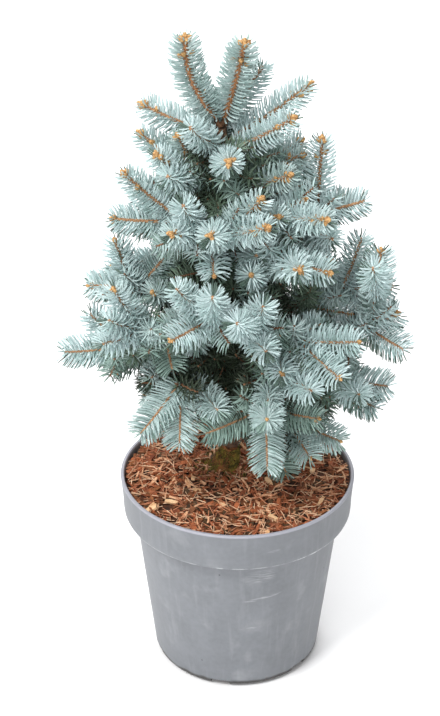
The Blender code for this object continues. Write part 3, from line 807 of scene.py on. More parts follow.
@dataclass(frozen=True)
class Mulch:
    """The compost in the pot and the shredded bark, straws and chips that lie on it."""

    pot: Pot
    top: float = 200 * MM
    edge_drop: float = 2.4 * MM
    side_gap: float = 0.5 * MM
    foot_gap: float = 0.3 * MM
    under_litter: float = 0.8 * MM
    rings: int = 44
    segments: int = 150
    trunk_gap: float = 9 * MM
    rim_gap: float = 1.5 * MM
    end_gap: float = 1.2 * MM
    litter_outline: tuple[float, ...] = (0.8, 0.98, 1.0, 0.95, 0.7)
    seed: int = 4100

    def surface(self, spots: Array) -> Array:
        """The compost's height at places in the pot, given as (x, y)."""
        radius = np.linalg.norm(spots, axis=-1)
        flat = np.concatenate([spots, np.zeros_like(spots[..., :1])], -1)
        heap = self.edge_drop * (1 - (radius / self.pot.rim_radius) ** 2) - self.edge_drop
        return self.top + heap + 1.3 * MM * ripple(flat, 60 * MM, 7) + 0.5 * MM * ripple(flat, 14 * MM, 8)

    def build_compost(self) -> None:
        """The filling of the pot, with a lumpy top."""
        pot, foot = self.pot, self.pot.floor + self.foot_gap
        edge = pot.inside_radius(self.top) - 0.4 * MM
        rows = [(0.0, foot), (pot.body_radius(pot.floor) - pot.wall - self.side_gap, foot),
                (pot.body_radius(pot.step) - pot.wall - self.side_gap, pot.step - 2 * MM),
                (edge - 1.6 * MM, pot.step + 7 * MM)]
        rows += [(radius, self.top) for radius in edge * np.linspace(1, 0.02, self.rings)]
        points, faces = lathe(np.array(rows + [(0.0, self.top)]), self.segments)
        above = points[:, 2] > self.top - 1 * MM
        points[above, 2] = self.surface(points[above, :2]) - self.under_litter
        finish = NaturalFinish("compost", rgb(42, 23, 12), rgb(92, 51, 27), 160.0, 4.0,
                               500.0, 1600.0, 1.2 * MM)
        compost = build_shape("compost", (points, faces), finish.material(), 60.0)
        join_to_body(compost, "growing_medium", "growing_medium")

    def lay(self, litter: Litter, foot: Array, rng: Rng) -> tuple[Array, Array, Array]:
        """Lay out one kind of mulch over the compost, clear of the trunk and inside the rim.

        Args:
            litter: The kind to lay.
            foot: Where the trunk stands, as (x, y).
            rng: The seeded source of places and sizes.

        Returns:
            A curved line for each piece, as (piece, point, 3), and each piece's sideways direction.
        """
        rim = self.pot.inside_radius(self.top)
        reach = rim - self.rim_gap
        length = rng.uniform(litter.length[0] * MM, litter.length[1] * MM, litter.count)
        radius = np.minimum(reach * np.sqrt(rng.uniform(0, 1, litter.count)), reach - length * 0.36)
        spots = radius[:, None] * compass(rng.uniform(0, 2 * math.pi, litter.count))[:, :2]
        clear = np.linalg.norm(spots - foot, axis=-1) > self.trunk_gap + length * 0.3
        spots, length = spots[clear], length[clear]
        count = len(spots)
        heading = rng.uniform(0, 2 * math.pi, count)
        tilt = np.radians(rng.normal(0, litter.tilt, count))
        way = np.stack([np.cos(heading) * np.cos(tilt), np.sin(heading) * np.cos(tilt), np.sin(tilt)], -1)
        side = np.stack([-np.sin(heading), np.cos(heading), rng.normal(0, 0.3, count)], -1)
        rise = self.surface(spots) + rng.uniform(litter.lift[0] * MM, litter.lift[1] * MM, count)
        rise += np.abs(np.sin(tilt)) * length * 0.22
        centre = np.concatenate([spots, rise[:, None]], -1)
        length = length[:, None, None]
        along = np.linspace(-0.5, 0.5, len(self.litter_outline))[None, :, None] * length
        curve = (along / length) ** 2
        bend = rng.normal(0, litter.bend, (count, 1, 1)) * length
        droop = rng.normal(0, litter.bend * 0.4, (count, 1, 1)) * length
        line = centre[:, None] + way[:, None] * along + unit(side)[:, None] * bend * curve
        line[..., 2:] += droop * (curve - 0.08)
        far = np.maximum(np.linalg.norm(line[..., :2], axis=-1, keepdims=True), 1e-9)
        line[..., :2] *= np.minimum(1, (rim - self.end_gap) / far)
        return line, side

    def scatter(self, litter: Litter, foot: Array, rng: Rng) -> None:
        """Build one kind of mulch.

        Args:
            litter: The kind to lay.
            foot: Where the trunk stands, as (x, y).
            rng: The seeded source of places and sizes.
        """
        line, side = self.lay(litter, foot, rng)
        count, rings = line.shape[:2]
        outline = np.array(self.litter_outline) * rng.uniform(0.78, 1.16, (count, rings))
        width = rng.uniform(litter.half_width[0] * MM, litter.half_width[1] * MM, (count, 1)) * outline
        depth = rng.uniform(litter.half_depth[0] * MM, litter.half_depth[1] * MM, (count, 1)) * np.ones(rings)
        pieces = sweep(line, side, np.stack([width, depth], -1), litter.corners, pointed=False,
                       twist=0.0 if litter.corners == 4 else 0.2)
        join_to_body(build_shape(litter.name, pieces, litter.finish(), 40.0), "growing_medium")

    def build(self, foot: Array) -> None:
        """Fill the pot and cover the compost round the trunk, whose foot stands at (x, y)."""
        self.build_compost()
        rng = np.random.default_rng(self.seed)
        for litter in LITTER:
            self.scatter(litter, foot, rng)


# The tree


@dataclass(frozen=True)
class Trunk:
    """The leaning trunk, from its flat cut on the compost to the fork under the leaders."""

    foot: Triple = (-5 * MM, 9 * MM, 200.3 * MM)
    top: Triple = (-17 * MM, -2 * MM, 566 * MM)
    bow: float = 4 * MM
    crook: Triple = (-10 * MM, 7 * MM, 0.0)
    crook_height: float = 60 * MM
    foot_radius: float = 8.2 * MM
    top_radius: float = 4.8 * MM
    flare: float = 6 * MM
    flare_height: float = 11 * MM
    flare_lobes: int = 5
    collar: float = 0.22
    collar_reach: float = 6 * MM
    corners: int = 44
    ring_gap: float = 2 * MM

    def share(self, height: float) -> float:
        """How far up the trunk a height is, from 0 to 1."""
        return (height - self.foot[2]) / (self.top[2] - self.foot[2])

    def axis(self, height: float) -> Array:
        """The trunk's centre at a height, leaning, slightly bowed and crooked at its foot."""
        foot, share = np.array(self.foot), self.share(height)
        point = foot + (np.array(self.top) - foot) * share
        point += np.array(self.crook) * max(0.0, 1 - (height - foot[2]) / self.crook_height) ** 2
        return np.array((point[0] + self.bow * math.sin(math.pi * share), point[1], height))

    def radius(self, height: float) -> float:
        """The trunk's radius at a height, without its root flare."""
        return self.foot_radius + (self.top_radius - self.foot_radius) * self.share(height)

    def surface(self, height: float, heading: float, depth: float = 1.0) -> Array:
        """The point this way out from the axis at a height, at a share of the trunk's radius."""
        return self.axis(height) + bearing(heading, 0) * self.radius(height) * depth

    def build(self, finish: Material) -> None:
        """The trunk with flaking bark, swollen round its limbs."""
        heights = np.arange(self.foot[2], self.top[2], self.ring_gap)
        line = np.array([self.axis(height) for height in heights])
        plain = np.array([self.radius(height) for height in heights])
        angles = turns(self.corners, 0.5)
        fade = np.exp(-(heights - heights[0]) / self.flare_height)[:, None]
        lobe = 0.6 + 0.4 * np.cos(self.flare_lobes * angles)[None]
        spots = line[:, None] + compass(angles)[None] * plain[:, None, None]
        swollen = np.zeros(spots.shape[:2])
        for limb in LIMBS:
            apart = np.linalg.norm(spots - self.surface(limb.up * MM, limb.azimuth), axis=-1)
            swollen += self.collar * np.exp(-(apart / self.collar_reach) ** 2)
        stretched = spots * np.array((1, 1, 0.35))
        flakes = 0.11 * ripple(stretched, 9 * MM, 21) + 0.05 * ripple(spots, 3.5 * MM, 22)
        rings = 0.035 * ripple(spots * np.array((0.1, 0.1, 1)), 7 * MM, 23)
        relief = 1 + self.flare * fade * lobe / plain[:, None] + swollen + flakes + rings
        trunk = tube(line, np.array((1.0, 0, 0)), plain, self.corners, relief)
        join_to_body(build_shape("trunk_bark", trunk, finish, 70.0), "bark", "trunk")


@dataclass(frozen=True)
class Limb:
    """One limb: where it leaves the trunk, where its leading shoot starts, and its shoots.

    up is a height on the trunk, and azimuth, reach and climb place the leading shoot's foot round
    that point, in millimetres and degrees. lead is that shoot's heading, rise and length. sides is
    a count of shoots to fan out, or a row of (place along the stem, heading, rise, length), where a
    place past 1 is on the leading shoot. curl is how far the leading shoot turns up.
    """

    name: str
    up: float
    azimuth: float
    reach: float
    climb: float
    lead: Triple
    sides: tuple | int = ()
    bough: bool = False
    curl: float = 9.0


LEADERS = (
    Limb("leader_left", 566, 180, 2.6, 10, (184, 46, 79), curl=48),
    Limb("leader_right", 566, 0, 2.6, 10, (340, 71, 71)),
)

LIMBS = (
    # The whorl under the fork
    Limb("leader_rear", 560, 62, 10, 8, (31, 45, 59)),
    Limb("top_right", 552, 7, 14, 6, (9, 29, 77)),
    Limb("top_right_front", 543, 333, 12, 5, (336, 29, 66)),
    Limb("top_left", 556, 174, 14, 5, (172, 17, 60)),
    Limb("top_left_front", 546, 243, 10, 5, (240, 32, 56)),
    Limb("top_rear", 552, 112, 12, 6, (112, 28, 56), ((0.7, 70, 24, 46),)),
    # The second whorl
    Limb("upper_left", 506, 205, 34, 16, (246, 20, 54),
         ((0.3, 206, 56, 62), (0.8, 222, 36, 58), (0.15, 162, 28, 82))),
    Limb("upper_front", 532, 274, 16, 7, (275, 19, 56)),
    Limb("upper_right", 512, 12, 26, 12, (11, 23, 50), ((0.6, 354, 18, 56), (0.5, 50, 20, 50))),
    Limb("upper_right_front", 503, 326, 22, 9, (324, 23, 54)),
    Limb("upper_rear", 515, 88, 26, 10, (88, 20, 56), 2),
    Limb("upper_rear_left", 498, 140, 28, 10, (136, 18, 58), 2),
    # The shoulders of the crown
    Limb("shoulder_left", 462, 202, 44, 20, (185, 0, 64),
         ((0.9, 186, 38, 73), (0.6, 145, 3, 52))),
    Limb("shoulder_left_front", 470, 242, 60, 22, (251, 42, 50),
         ((0.8, 243, 14, 56), (0.5, 274, -19, 62))),
    Limb("shoulder_front", 462, 264, 64, 28, (259, 20, 48),
         ((0.7, 320, 44, 66), (0.95, 316, 20, 60))),
    Limb("shoulder_right_front", 470, 322, 58, 28, (309, 11, 68),
         ((0.5, 292, 24, 58), (0.85, 338, 30, 36))),
    Limb("shoulder_right", 444, 355, 84, 44, (12, 5, 46),
         ((0.95, 350, 88, 70), (0.75, 298, 4, 58), (0.3, 48, 12, 54), (0.9, 40, 4, 38))),
    Limb("shoulder_rear_right", 455, 50, 62, 26, (48, 12, 56), 3),
    Limb("shoulder_rear", 466, 98, 58, 22, (98, 14, 56), 3),
    Limb("shoulder_rear_left", 446, 146, 64, 24, (122, 4, 48),
         ((0.9, 176, 22, 40), (0.7, 84, -12, 44), (0.5, 118, 30, 44))),
    # The middle whorls, at the crown's widest
    Limb("inner_front", 448, 290, 36, 12, (289, 14, 42)),
    Limb("middle_right_front", 424, 310, 78, 44, (283, 9, 54),
         ((0.9, 324, -4, 50), (0.4, 266, 18, 62), (0.6, 344, 10, 60))),
    Limb("middle_left", 382, 180, 94, 28, (185, -4, 42),
         ((0.95, 190, 65, 48), (0.9, 4, 46, 46), (0.8, 148, 13, 42), (0.2, 120, 10, 50),
          (0.5, 238, 26, 46)), True),
    Limb("middle_left_front", 356, 210, 98, 30, (222, 0, 48),
         ((0.95, 222, 54, 62), (0.9, 224, 27, 54), (0.7, 286, -50, 34), (0.3, 262, 18, 46)), True),
    Limb("middle_front_left", 384, 258, 84, 34, (270, 38, 66),
         ((0.8, 229, 39, 70), (0.5, 208, 1, 56), (0.9, 219, -14, 48)), True),
    Limb("middle_front", 372, 283, 86, 36, (255, 26, 64),
         ((0.95, 288, 47, 44), (0.8, 287, -2, 48), (0.4, 300, 54, 54), (0.6, 318, 6, 42)), True),
    Limb("middle_right_low", 350, 314, 90, 34, (327, 11, 64),
         ((0.95, 307, -17, 60), (0.6, 275, -4, 56), (0.5, 340, 27, 58)), True),
    Limb("middle_right", 342, 346, 139, 44, (280, 68, 46),
         ((1.95, 258, 44, 52), (1.9, 75, 60, 37), (0.9, 333, -26, 42), (0.5, 284, 32, 48),
          (1.0, 12, 14, 18)), True),
    Limb("middle_right_rear", 372, 358, 112, 36, (337, 10, 44),
         ((0.9, 355, 68, 57), (0.5, 52, 10, 52), (0.8, 24, 26, 40), (0.55, 335, -3, 50)), True),
    Limb("middle_rear_right", 392, 52, 78, 26, (50, 8, 58), 4, True),
    Limb("middle_rear", 370, 98, 78, 30, (98, 10, 58), 4),
    Limb("middle_rear_left", 394, 142, 80, 18, (176, -10, 52),
         ((0.95, 85, 22, 52), (0.75, 166, -4, 50), (0.6, 92, -6, 45), (0.4, 176, 18, 46)), True),
    # The lowest limbs, hanging a little over the pot
    Limb("low_left", 330, 188, 108, 20, (190, -5, 57),
         ((0.9, 177, 40, 50), (0.8, 147, -5, 52), (0.4, 232, -10, 46)), True),
    Limb("low_right", 304, 342, 112, 22, (358, -14, 46),
         ((0.9, 290, 9, 55), (0.7, 270, -50, 34), (0.85, 340, -31, 50), (0.3, 34, -8, 62)), True),
    Limb("low_right_front", 322, 306, 80, 30, (296, 4, 58),
         ((0.7, 267, -4, 53), (0.5, 336, -6, 50))),
    Limb("low_front", 290, 294, 82, 28, (268, 16, 60),
         ((0.9, 272, -62, 58), (0.9, 203, -18, 62), (0.7, 330, 0, 62))),
    Limb("low_left_front", 308, 226, 76, 24, (212, -49, 59),
         ((0.9, 267, -68, 58), (0.6, 290, 0, 58), (0.4, 190, -12, 60))),
    Limb("skirt_right", 272, 318, 72, 20, (330, -15, 57),
         ((0.9, 303, -34, 48), (0.5, 312, -62, 60))),
    Limb("low_rear_right", 306, 46, 84, 22, (44, -4, 56),
         ((0.9, 92, -14, 52), (0.8, 8, -20, 50), (0.4, 60, -64, 56)), True),
    Limb("low_rear", 318, 96, 80, 20, (96, -6, 56),
         ((0.9, 140, -16, 50), (0.7, 62, -30, 50), (0.6, 104, -68, 60))),
    Limb("low_rear_left", 302, 146, 88, 20, (146, -8, 56),
         ((0.9, 188, -36, 56), (0.8, 106, -22, 50), (0.4, 150, -66, 58)), True),
)


@dataclass(frozen=True)
class GrowthRule:
    """The rule by which limbs and shoots grow, shared with the solids."""

    knee_reach: float = 0.5
    knee_climb: float = 0.25
    leader_splay: float = 0.4
    gap: float = 0.3 * MM
    path_points: int = 6
    leader_points: int = 3
    lead_place: float = 0.94
    band_length: float = 10.6 * MM
    fewest_bands: int = 3
    steepest: float = 88.0
    shoot_curl: float = 9.0
    fan_turn: Span = (34, 62)
    fan_rise: Span = (-26, 22)
    fan_share: Span = (0.68, 0.92)
    fan_span: float = 0.8
    fan_last_rise: float = 18.0
    bough_share: float = 0.6
    seed: int = 1000

    def stem(self, limb: Limb, trunk: Trunk) -> Array:
        """Points from the trunk to the leading shoot's foot, arching like a branch.

        Args:
            limb: The limb.
            trunk: What it grows on.

        Returns:
            The points.
        """
        outward = bearing(limb.azimuth, 0)
        if limb in LEADERS:
            start = np.array(trunk.top) + outward * limb.reach * MM + (0, 0, self.gap)
            end = start + np.array((0, 0, limb.climb * MM)) + outward * limb.reach * MM * self.leader_splay
            return start + (end - start) * np.linspace(0, 1, self.leader_points)[:, None]
        height = limb.up * MM
        axis, radius = trunk.axis(height), trunk.radius(height)
        start = axis + outward * (radius + self.gap)
        end = axis + outward * limb.reach * MM + np.array((0, 0, limb.climb * MM))
        knee = start + outward * self.knee_reach * (limb.reach * MM - radius)
        knee[2] = start[2] + self.knee_climb * limb.climb * MM
        t = np.linspace(0, 1, self.path_points)[:, None]
        return (1 - t) ** 2 * start + 2 * t * (1 - t) * knee + t ** 2 * end

    def shoot(self, foot: Array, heading: float, rise: float, length: float, curl: float) -> Array:
        """Points along a shoot that turns up towards its tip.

        Args:
            foot: Where it starts.
            heading: Its heading, in degrees.
            rise: Its rise at its foot, in degrees.
            length: Its length, in millimetres.
            curl: How far it turns up, in degrees.

        Returns:
            The points.
        """
        bands = max(self.fewest_bands, round(length * MM / self.band_length))
        points = [foot]
        for band in range(bands):
            lift = min(self.steepest, rise + curl * (band + 0.5) / bands)
            points.append(points[-1] + bearing(heading, lift) * length * MM / bands)
        return np.array(points)

    def side_plan(self, limb: Limb, rng: Rng) -> list[tuple]:
        """The side shoots of a limb.

        Args:
            limb: The limb.
            rng: The seeded source of the angles and lengths of a fan of shoots.

        Returns:
            Rows of (place, heading, rise, length).
        """
        if not isinstance(limb.sides, int):
            return list(limb.sides)
        heading, rise, length = limb.lead
        rows = []
        for index in range(limb.sides):
            turn = rng.uniform(*self.fan_turn) * (1 if index % 2 else -1)
            place = 1 - self.fan_span * index / limb.sides
            lift = rise + rng.uniform(*self.fan_rise)
            lift += self.fan_last_rise if index == limb.sides - 1 else 0
            rows.append((place, heading + turn, lift, length * rng.uniform(*self.fan_share)))
        return rows

    @staticmethod
    def place_on(stem: Array, lead: Array, place: float) -> Array:
        """The point at a place along the stem, or past 1 along the leading shoot."""
        line, share = (stem, place) if place <= 1 else (lead, place - 1)
        spot = min(share * (len(line) - 1), len(line) - 1.001)
        index = int(spot)
        return line[index] + (line[index + 1] - line[index]) * (spot - index)


class Growth(Enum):
    """The kinds of wood in the crown."""

    LIMB = "limb"
    LEADER = "leader"
    SHOOT = "shoot"
    INNER = "inner"
    DEAD = "dead"


class Tint(Enum):
    """The colours that needles are dealt out in, spray by spray. Silver and blue are for lit sprays;
    teal, under-shade, green and shade are darker copies as painted shade for sprays deep in the crown
    and on under sides, and green is also greener, as older needles are.
    """

    SILVER = NeedleFinish("silver_needle", rgb(153, 180, 175), rgb(213, 228, 230))
    BLUE = NeedleFinish("blue_needle", rgb(139, 165, 160), rgb(198, 214, 213))
    TEAL = NeedleFinish("teal_needle", rgb(110, 137, 128), rgb(162, 185, 175))
    DUSK = NeedleFinish("dusky_needle", rgb(56, 76, 66), rgb(100, 122, 110))
    GREEN = NeedleFinish("green_needle", rgb(80, 102, 84), rgb(130, 151, 130))
    SHADE = NeedleFinish("shaded_needle", rgb(34, 44, 32), rgb(68, 82, 62))

    def under(self) -> Tint:
        """The darker tint on the under side of a spray of this one: painted shade."""
        return {Tint.SILVER: Tint.DUSK, Tint.BLUE: Tint.TEAL, Tint.TEAL: Tint.DUSK}.get(self, Tint.SHADE)


@dataclass(frozen=True)
class NeedleHabit:
    """How needles stand along a shoot.

    leans, in degrees, and sizes, as shares of length, hold at the places from its foot to its tip.
    hook is how far a needle bends, and gather is how close needles crowd to the upper side of a
    shoot seen from its side. A needle is a sweep with half widths by steps along it.
    """

    length: float = 16 * MM
    per_metre: float = 3200.0
    half_width: float = 0.74 * MM
    places: tuple[float, ...] = (0.0, 0.12, 0.6, 0.86, 1.0)
    leans: tuple[float, ...] = (86.0, 74.0, 66.0, 60.0, 48.0)
    sizes: tuple[float, ...] = (0.66, 0.95, 1.0, 0.92, 0.62)
    hook: float = 28.0
    lift: float = 0.14
    bare: float = 0.0
    gather: float = 0.58
    tip_span: Span = (0.88, 1.0)
    shaded_from: Span = (-0.05, -0.95)
    facing_span: Span = (0.35, 0.85)
    sunlit_span: Span = (-0.5, 0.1)
    fewest: int = 8
    corners: int = 3
    steps: tuple[float, ...] = (0.0, 0.45, 0.9, 1.0)
    widths: tuple[float, ...] = (0.7, 1.0, 0.86)

    def parting(self, line: Line) -> tuple[Array, float]:
        """How a shoot's needles part on the side that faces out and up.

        Args:
            line: The shoot.

        Returns:
            The way that side faces, and how far the needles spread from either side of the shoot:
            1 all the way round on one that points outwards, and less on one seen from its side.
        """
        run = unit(line.points[-1] - line.points[0])
        middle = line.points[len(line.points) // 2]
        outward = unit(middle * (1, 1, 0) - CROWN_AXIS)
        sunlit = float(np.interp(outward @ LIGHT_SIDE, self.sunlit_span, (0.0, 1.0)))
        faced = unit(outward * (0.75 - 0.45 * sunlit) + LIGHT_SIDE * 0.6 * sunlit + UP * 0.6)
        across = unit(faced - run * float(faced @ run) + UP * 0.01)
        return across, float(np.interp(abs(float(faced @ run)), self.facing_span, (self.gather, 1.0)))

    def grow(self, line: Line, radius: float, rng: Rng) -> list[Shape]:
        """The needles of one shoot as two shapes, its upper side and its under side, which takes a darker
        tint as painted shade.

        Args:
            line: The shoot.
            radius: Its thickness, into which each needle's foot is sunk.
            rng: The seeded source of each needle's small differences.

        Returns:
            The points and the arrays of faces of each side.
        """
        count = max(self.fewest, round(line.length * (1 - self.bare) * self.per_metre))
        place = (np.arange(count) + rng.uniform(0.3, 0.7, count)) / count
        place = self.bare + (1 - self.bare) * place
        spot, way, _, _ = line.at(place)
        top, spread = self.parting(line)
        top = unit(top - way * (way @ top)[:, None])
        turn = (np.arange(count) * GOLDEN_ANGLE + math.pi) % (2 * math.pi) - math.pi
        shaded = np.interp(spread, (self.gather, 1.0), self.shaded_from)
        spread = np.interp(place, self.tip_span, (spread, 1.0))
        turn = np.sign(turn) * (math.pi / 2 + (np.abs(turn) - math.pi / 2) * spread)
        turn = (turn + rng.normal(0, 0.09, count))[:, None]
        out = top * np.cos(turn) + np.cross(way, top) * np.sin(turn)
        lean = np.radians(np.interp(place, self.places, self.leans) + rng.normal(0, 2.2, count))[:, None]
        hook = math.radians(self.hook) / 2
        first = way * np.cos(lean + hook) + out * np.sin(lean + hook)
        last = way * np.cos(lean - hook) + out * np.sin(lean - hook)
        last[:, 2] += self.lift
        size = self.length * np.interp(place, self.places, self.sizes) * rng.uniform(0.92, 1.06, count)
        steps = np.array(self.steps)[None, :, None]
        bend = first[:, None] * steps + (unit(last) - first)[:, None] * steps ** 2 / 2
        centres = (spot + out * radius * 0.5)[:, None] + bend * size[:, None, None]
        widths = self.half_width * np.array(self.widths) * rng.uniform(0.85, 1.12, (count, 1))
        across = np.cross(first, out) + 0.4 * rng.normal(size=(count, 3))
        # Needles on the side turned away from top form the under side, which takes a darker tint as painted
        # shade.
        upper = np.cos(turn[:, 0]) > shaded
        return [sweep(centres[side], across[side], widths[side], self.corners) for side in (upper, ~upper)]


LEADER_NEEDLES = NeedleHabit(
    length=17.8 * MM, per_metre=3900.0, half_width=0.8 * MM, leans=(90.0, 80.0, 72.0, 68.0, 58.0),
    sizes=(0.7, 0.95, 1.0, 0.94, 0.62), gather=0.46)
OLD_NEEDLES = NeedleHabit(
    length=13 * MM, per_metre=1600.0, bare=0.4, leans=(86.0, 80.0, 70.0, 60.0, 50.0), steps=(0.0, 0.5, 1.0),
    widths=(0.8, 1.0))
SHADED_NEEDLES = NeedleHabit(
    length=17 * MM, per_metre=1700.0, half_width=0.8 * MM, steps=(0.0, 0.5, 1.0), widths=(0.8, 1.0))


@dataclass(frozen=True)
class TwigHabit:
    """How one kind of short twig grows.

    rise is in degrees, and length in millimetres or in shares of the reach that a twig is given.
    radii are those at its foot and its tip, and spacing is that of its rings.
    """

    growth: Growth
    rise: Span
    length: Span
    curl: float
    radii: Span
    spacing: float = 2.6 * MM
    needles: NeedleHabit | None = None


INNER_TWIG = TwigHabit(Growth.INNER, (-45, 55), (26, 46), 12, (1.5 * MM, 1.1 * MM), needles=SHADED_NEEDLES)
TRUNK_TWIG = TwigHabit(Growth.INNER, (-15, 35), (0.6, 1), 14, (1.5 * MM, 1.0 * MM), needles=replace(
    SHADED_NEEDLES, per_metre=1500.0, half_width=0.85 * MM, bare=0.1))
DEAD_TWIG = TwigHabit(Growth.DEAD, (-25, 45), (26, 64), -18, (1.1 * MM, 0.5 * MM), 2.4 * MM)


@dataclass
class Sprig:
    """One twig of the crown with what grows on it."""

    line: Line
    growth: Growth
    foot_radius: float
    tip_radius: float
    tint: Tint | None = None
    habit: NeedleHabit | None = None
    buds: int = 0

    def wood(self) -> Shape:
        """The twig itself, rough with the pegs that its needles stand on."""
        rings, corners = len(self.line.points), 8 if self.buds or self.growth is Growth.SHOOT else 5
        taper = np.linspace(self.foot_radius, self.tip_radius, rings)
        checker = (np.arange(rings)[:, None] + np.arange(corners)[None]) % 2
        return tube(self.line.points, self.line.sides[0], taper, corners, 0.9 + 0.24 * checker)


@dataclass(frozen=True)
class BudHabit:
    """How buds sit round the tip of a shoot.

    whorl_drop is how far under the tip a ring of side buds sits, and whorl_stand how far out it
    stands on a leader. Shoots over whorl_height have one. scales are the buds' sizes at the
    heights of crown_span.
    """

    radius: float = 2.3 * MM
    length: float = 5.4 * MM
    splay: float = 50.0
    whorl_splay: float = 60.0
    whorl_drop: Span = (10 * MM, 18 * MM)
    whorl_stand: float = 2.4 * MM
    whorl_height: float = 0.5
    leader_whorl: int = 5
    side_whorl: int = 2
    crown_span: Span = (0.34, 0.54)
    scales: Span = (0.66, 1.12)
    corners: int = 7

    def shape(self, feet: Array, ways: Array, sizes: Array) -> Shape:
        """Scaly ovoid buds.

        Args:
            feet: Where each one stands.
            ways: The way that each one points.
            sizes: Their relative sizes.

        Returns:
            The points and the arrays of faces.
        """
        steps = np.array((0.0, 0.16, 0.36, 0.56, 0.76, 0.92, 1.0))
        swell = np.array((0.62, 0.95, 1.06, 0.94, 0.66, 0.34))
        centres = feet[:, None] + ways[:, None] * (steps[None] * self.length * sizes[:, None])[..., None]
        scales = 0.92 + 0.16 * ((np.arange(len(swell))[:, None] + np.arange(self.corners)[None]) % 2)
        return sweep(centres, np.cross(ways, (0.31, 0.87, 0.38)), swell[None] * self.radius * sizes[:, None],
                     self.corners, relief=scales[None], twist=math.pi / self.corners)

    def cluster(self, sprig: Sprig, rng: Rng) -> tuple[Array, Array, Array]:
        """The buds at one shoot's tip: one on its end, a ring round that and, high up, a whorl below.

        Args:
            sprig: The shoot.
            rng: The seeded source of the differences between buds.

        Returns:
            Their feet, directions and sizes.
        """
        point, way, side, rise = sprig.line.frame_at(1.0)
        scale = float(np.interp(point[2], self.crown_span, self.scales))
        rows = [(point - way * 0.5 * MM, way, rng.uniform(1.0, 1.2))]
        start = rng.uniform(0, 2 * math.pi)
        for number in range(sprig.buds - 1):
            turn = start + 2 * math.pi * number / (sprig.buds - 1) + rng.normal(0, 0.25)
            out = side * math.cos(turn) + rise * math.sin(turn)
            splay = math.radians(self.splay + rng.normal(0, 10))
            foot = point - way * rng.uniform(0.4, 3.4) * MM + out * sprig.tip_radius * 0.8
            rows.append((foot, way * math.cos(splay) + out * math.sin(splay), rng.uniform(0.8, 1.08)))
        leader = sprig.growth is Growth.LEADER
        whorl = self.leader_whorl if leader else int(point[2] > self.whorl_height) * self.side_whorl
        stand = sprig.tip_radius * 0.6 + self.whorl_stand * leader
        for number in range(whorl):
            turn = start + 2 * math.pi * (number + 0.5) / whorl + rng.normal(0, 0.3)
            spot, way, side, rise = sprig.line.frame_at(1 - rng.uniform(*self.whorl_drop) / sprig.line.length)
            out = side * math.cos(turn) + rise * math.sin(turn)
            splay = math.radians(self.whorl_splay + rng.normal(0, 8))
            aim = way * math.cos(splay) + out * math.sin(splay)
            rows.append((spot + out * stand, aim, rng.uniform(0.85, 1.12)))
        feet, ways, sizes = (np.array(part) for part in zip(*rows))
        return feet, ways, sizes * scale


# Open places in the crown, where no inner twig ends: x, y and z in millimetres.
CLEARINGS = np.array((
    (100, -24, 464), (-86, 21, 425), (126, -64, 366),
    (131, -63, 357), (-85, 50, 419), (-83, 37, 427),
)) * MM

# The joined wood: each piece's name, its kinds of growth, two colours and waves per metre.
WOODS = (
    ("leader_twigs", (Growth.LEADER,), rgb(86, 50, 30), rgb(200, 144, 98), 900.0),
    ("fresh_twigs", (Growth.SHOOT,), rgb(108, 74, 50), rgb(186, 142, 102), 500.0),
    ("old_twigs", (Growth.LIMB, Growth.INNER), rgb(84, 56, 38), rgb(140, 100, 70), 500.0),
    ("dead_twigs", (Growth.DEAD,), rgb(80, 54, 40), rgb(146, 106, 78), 400.0),
)


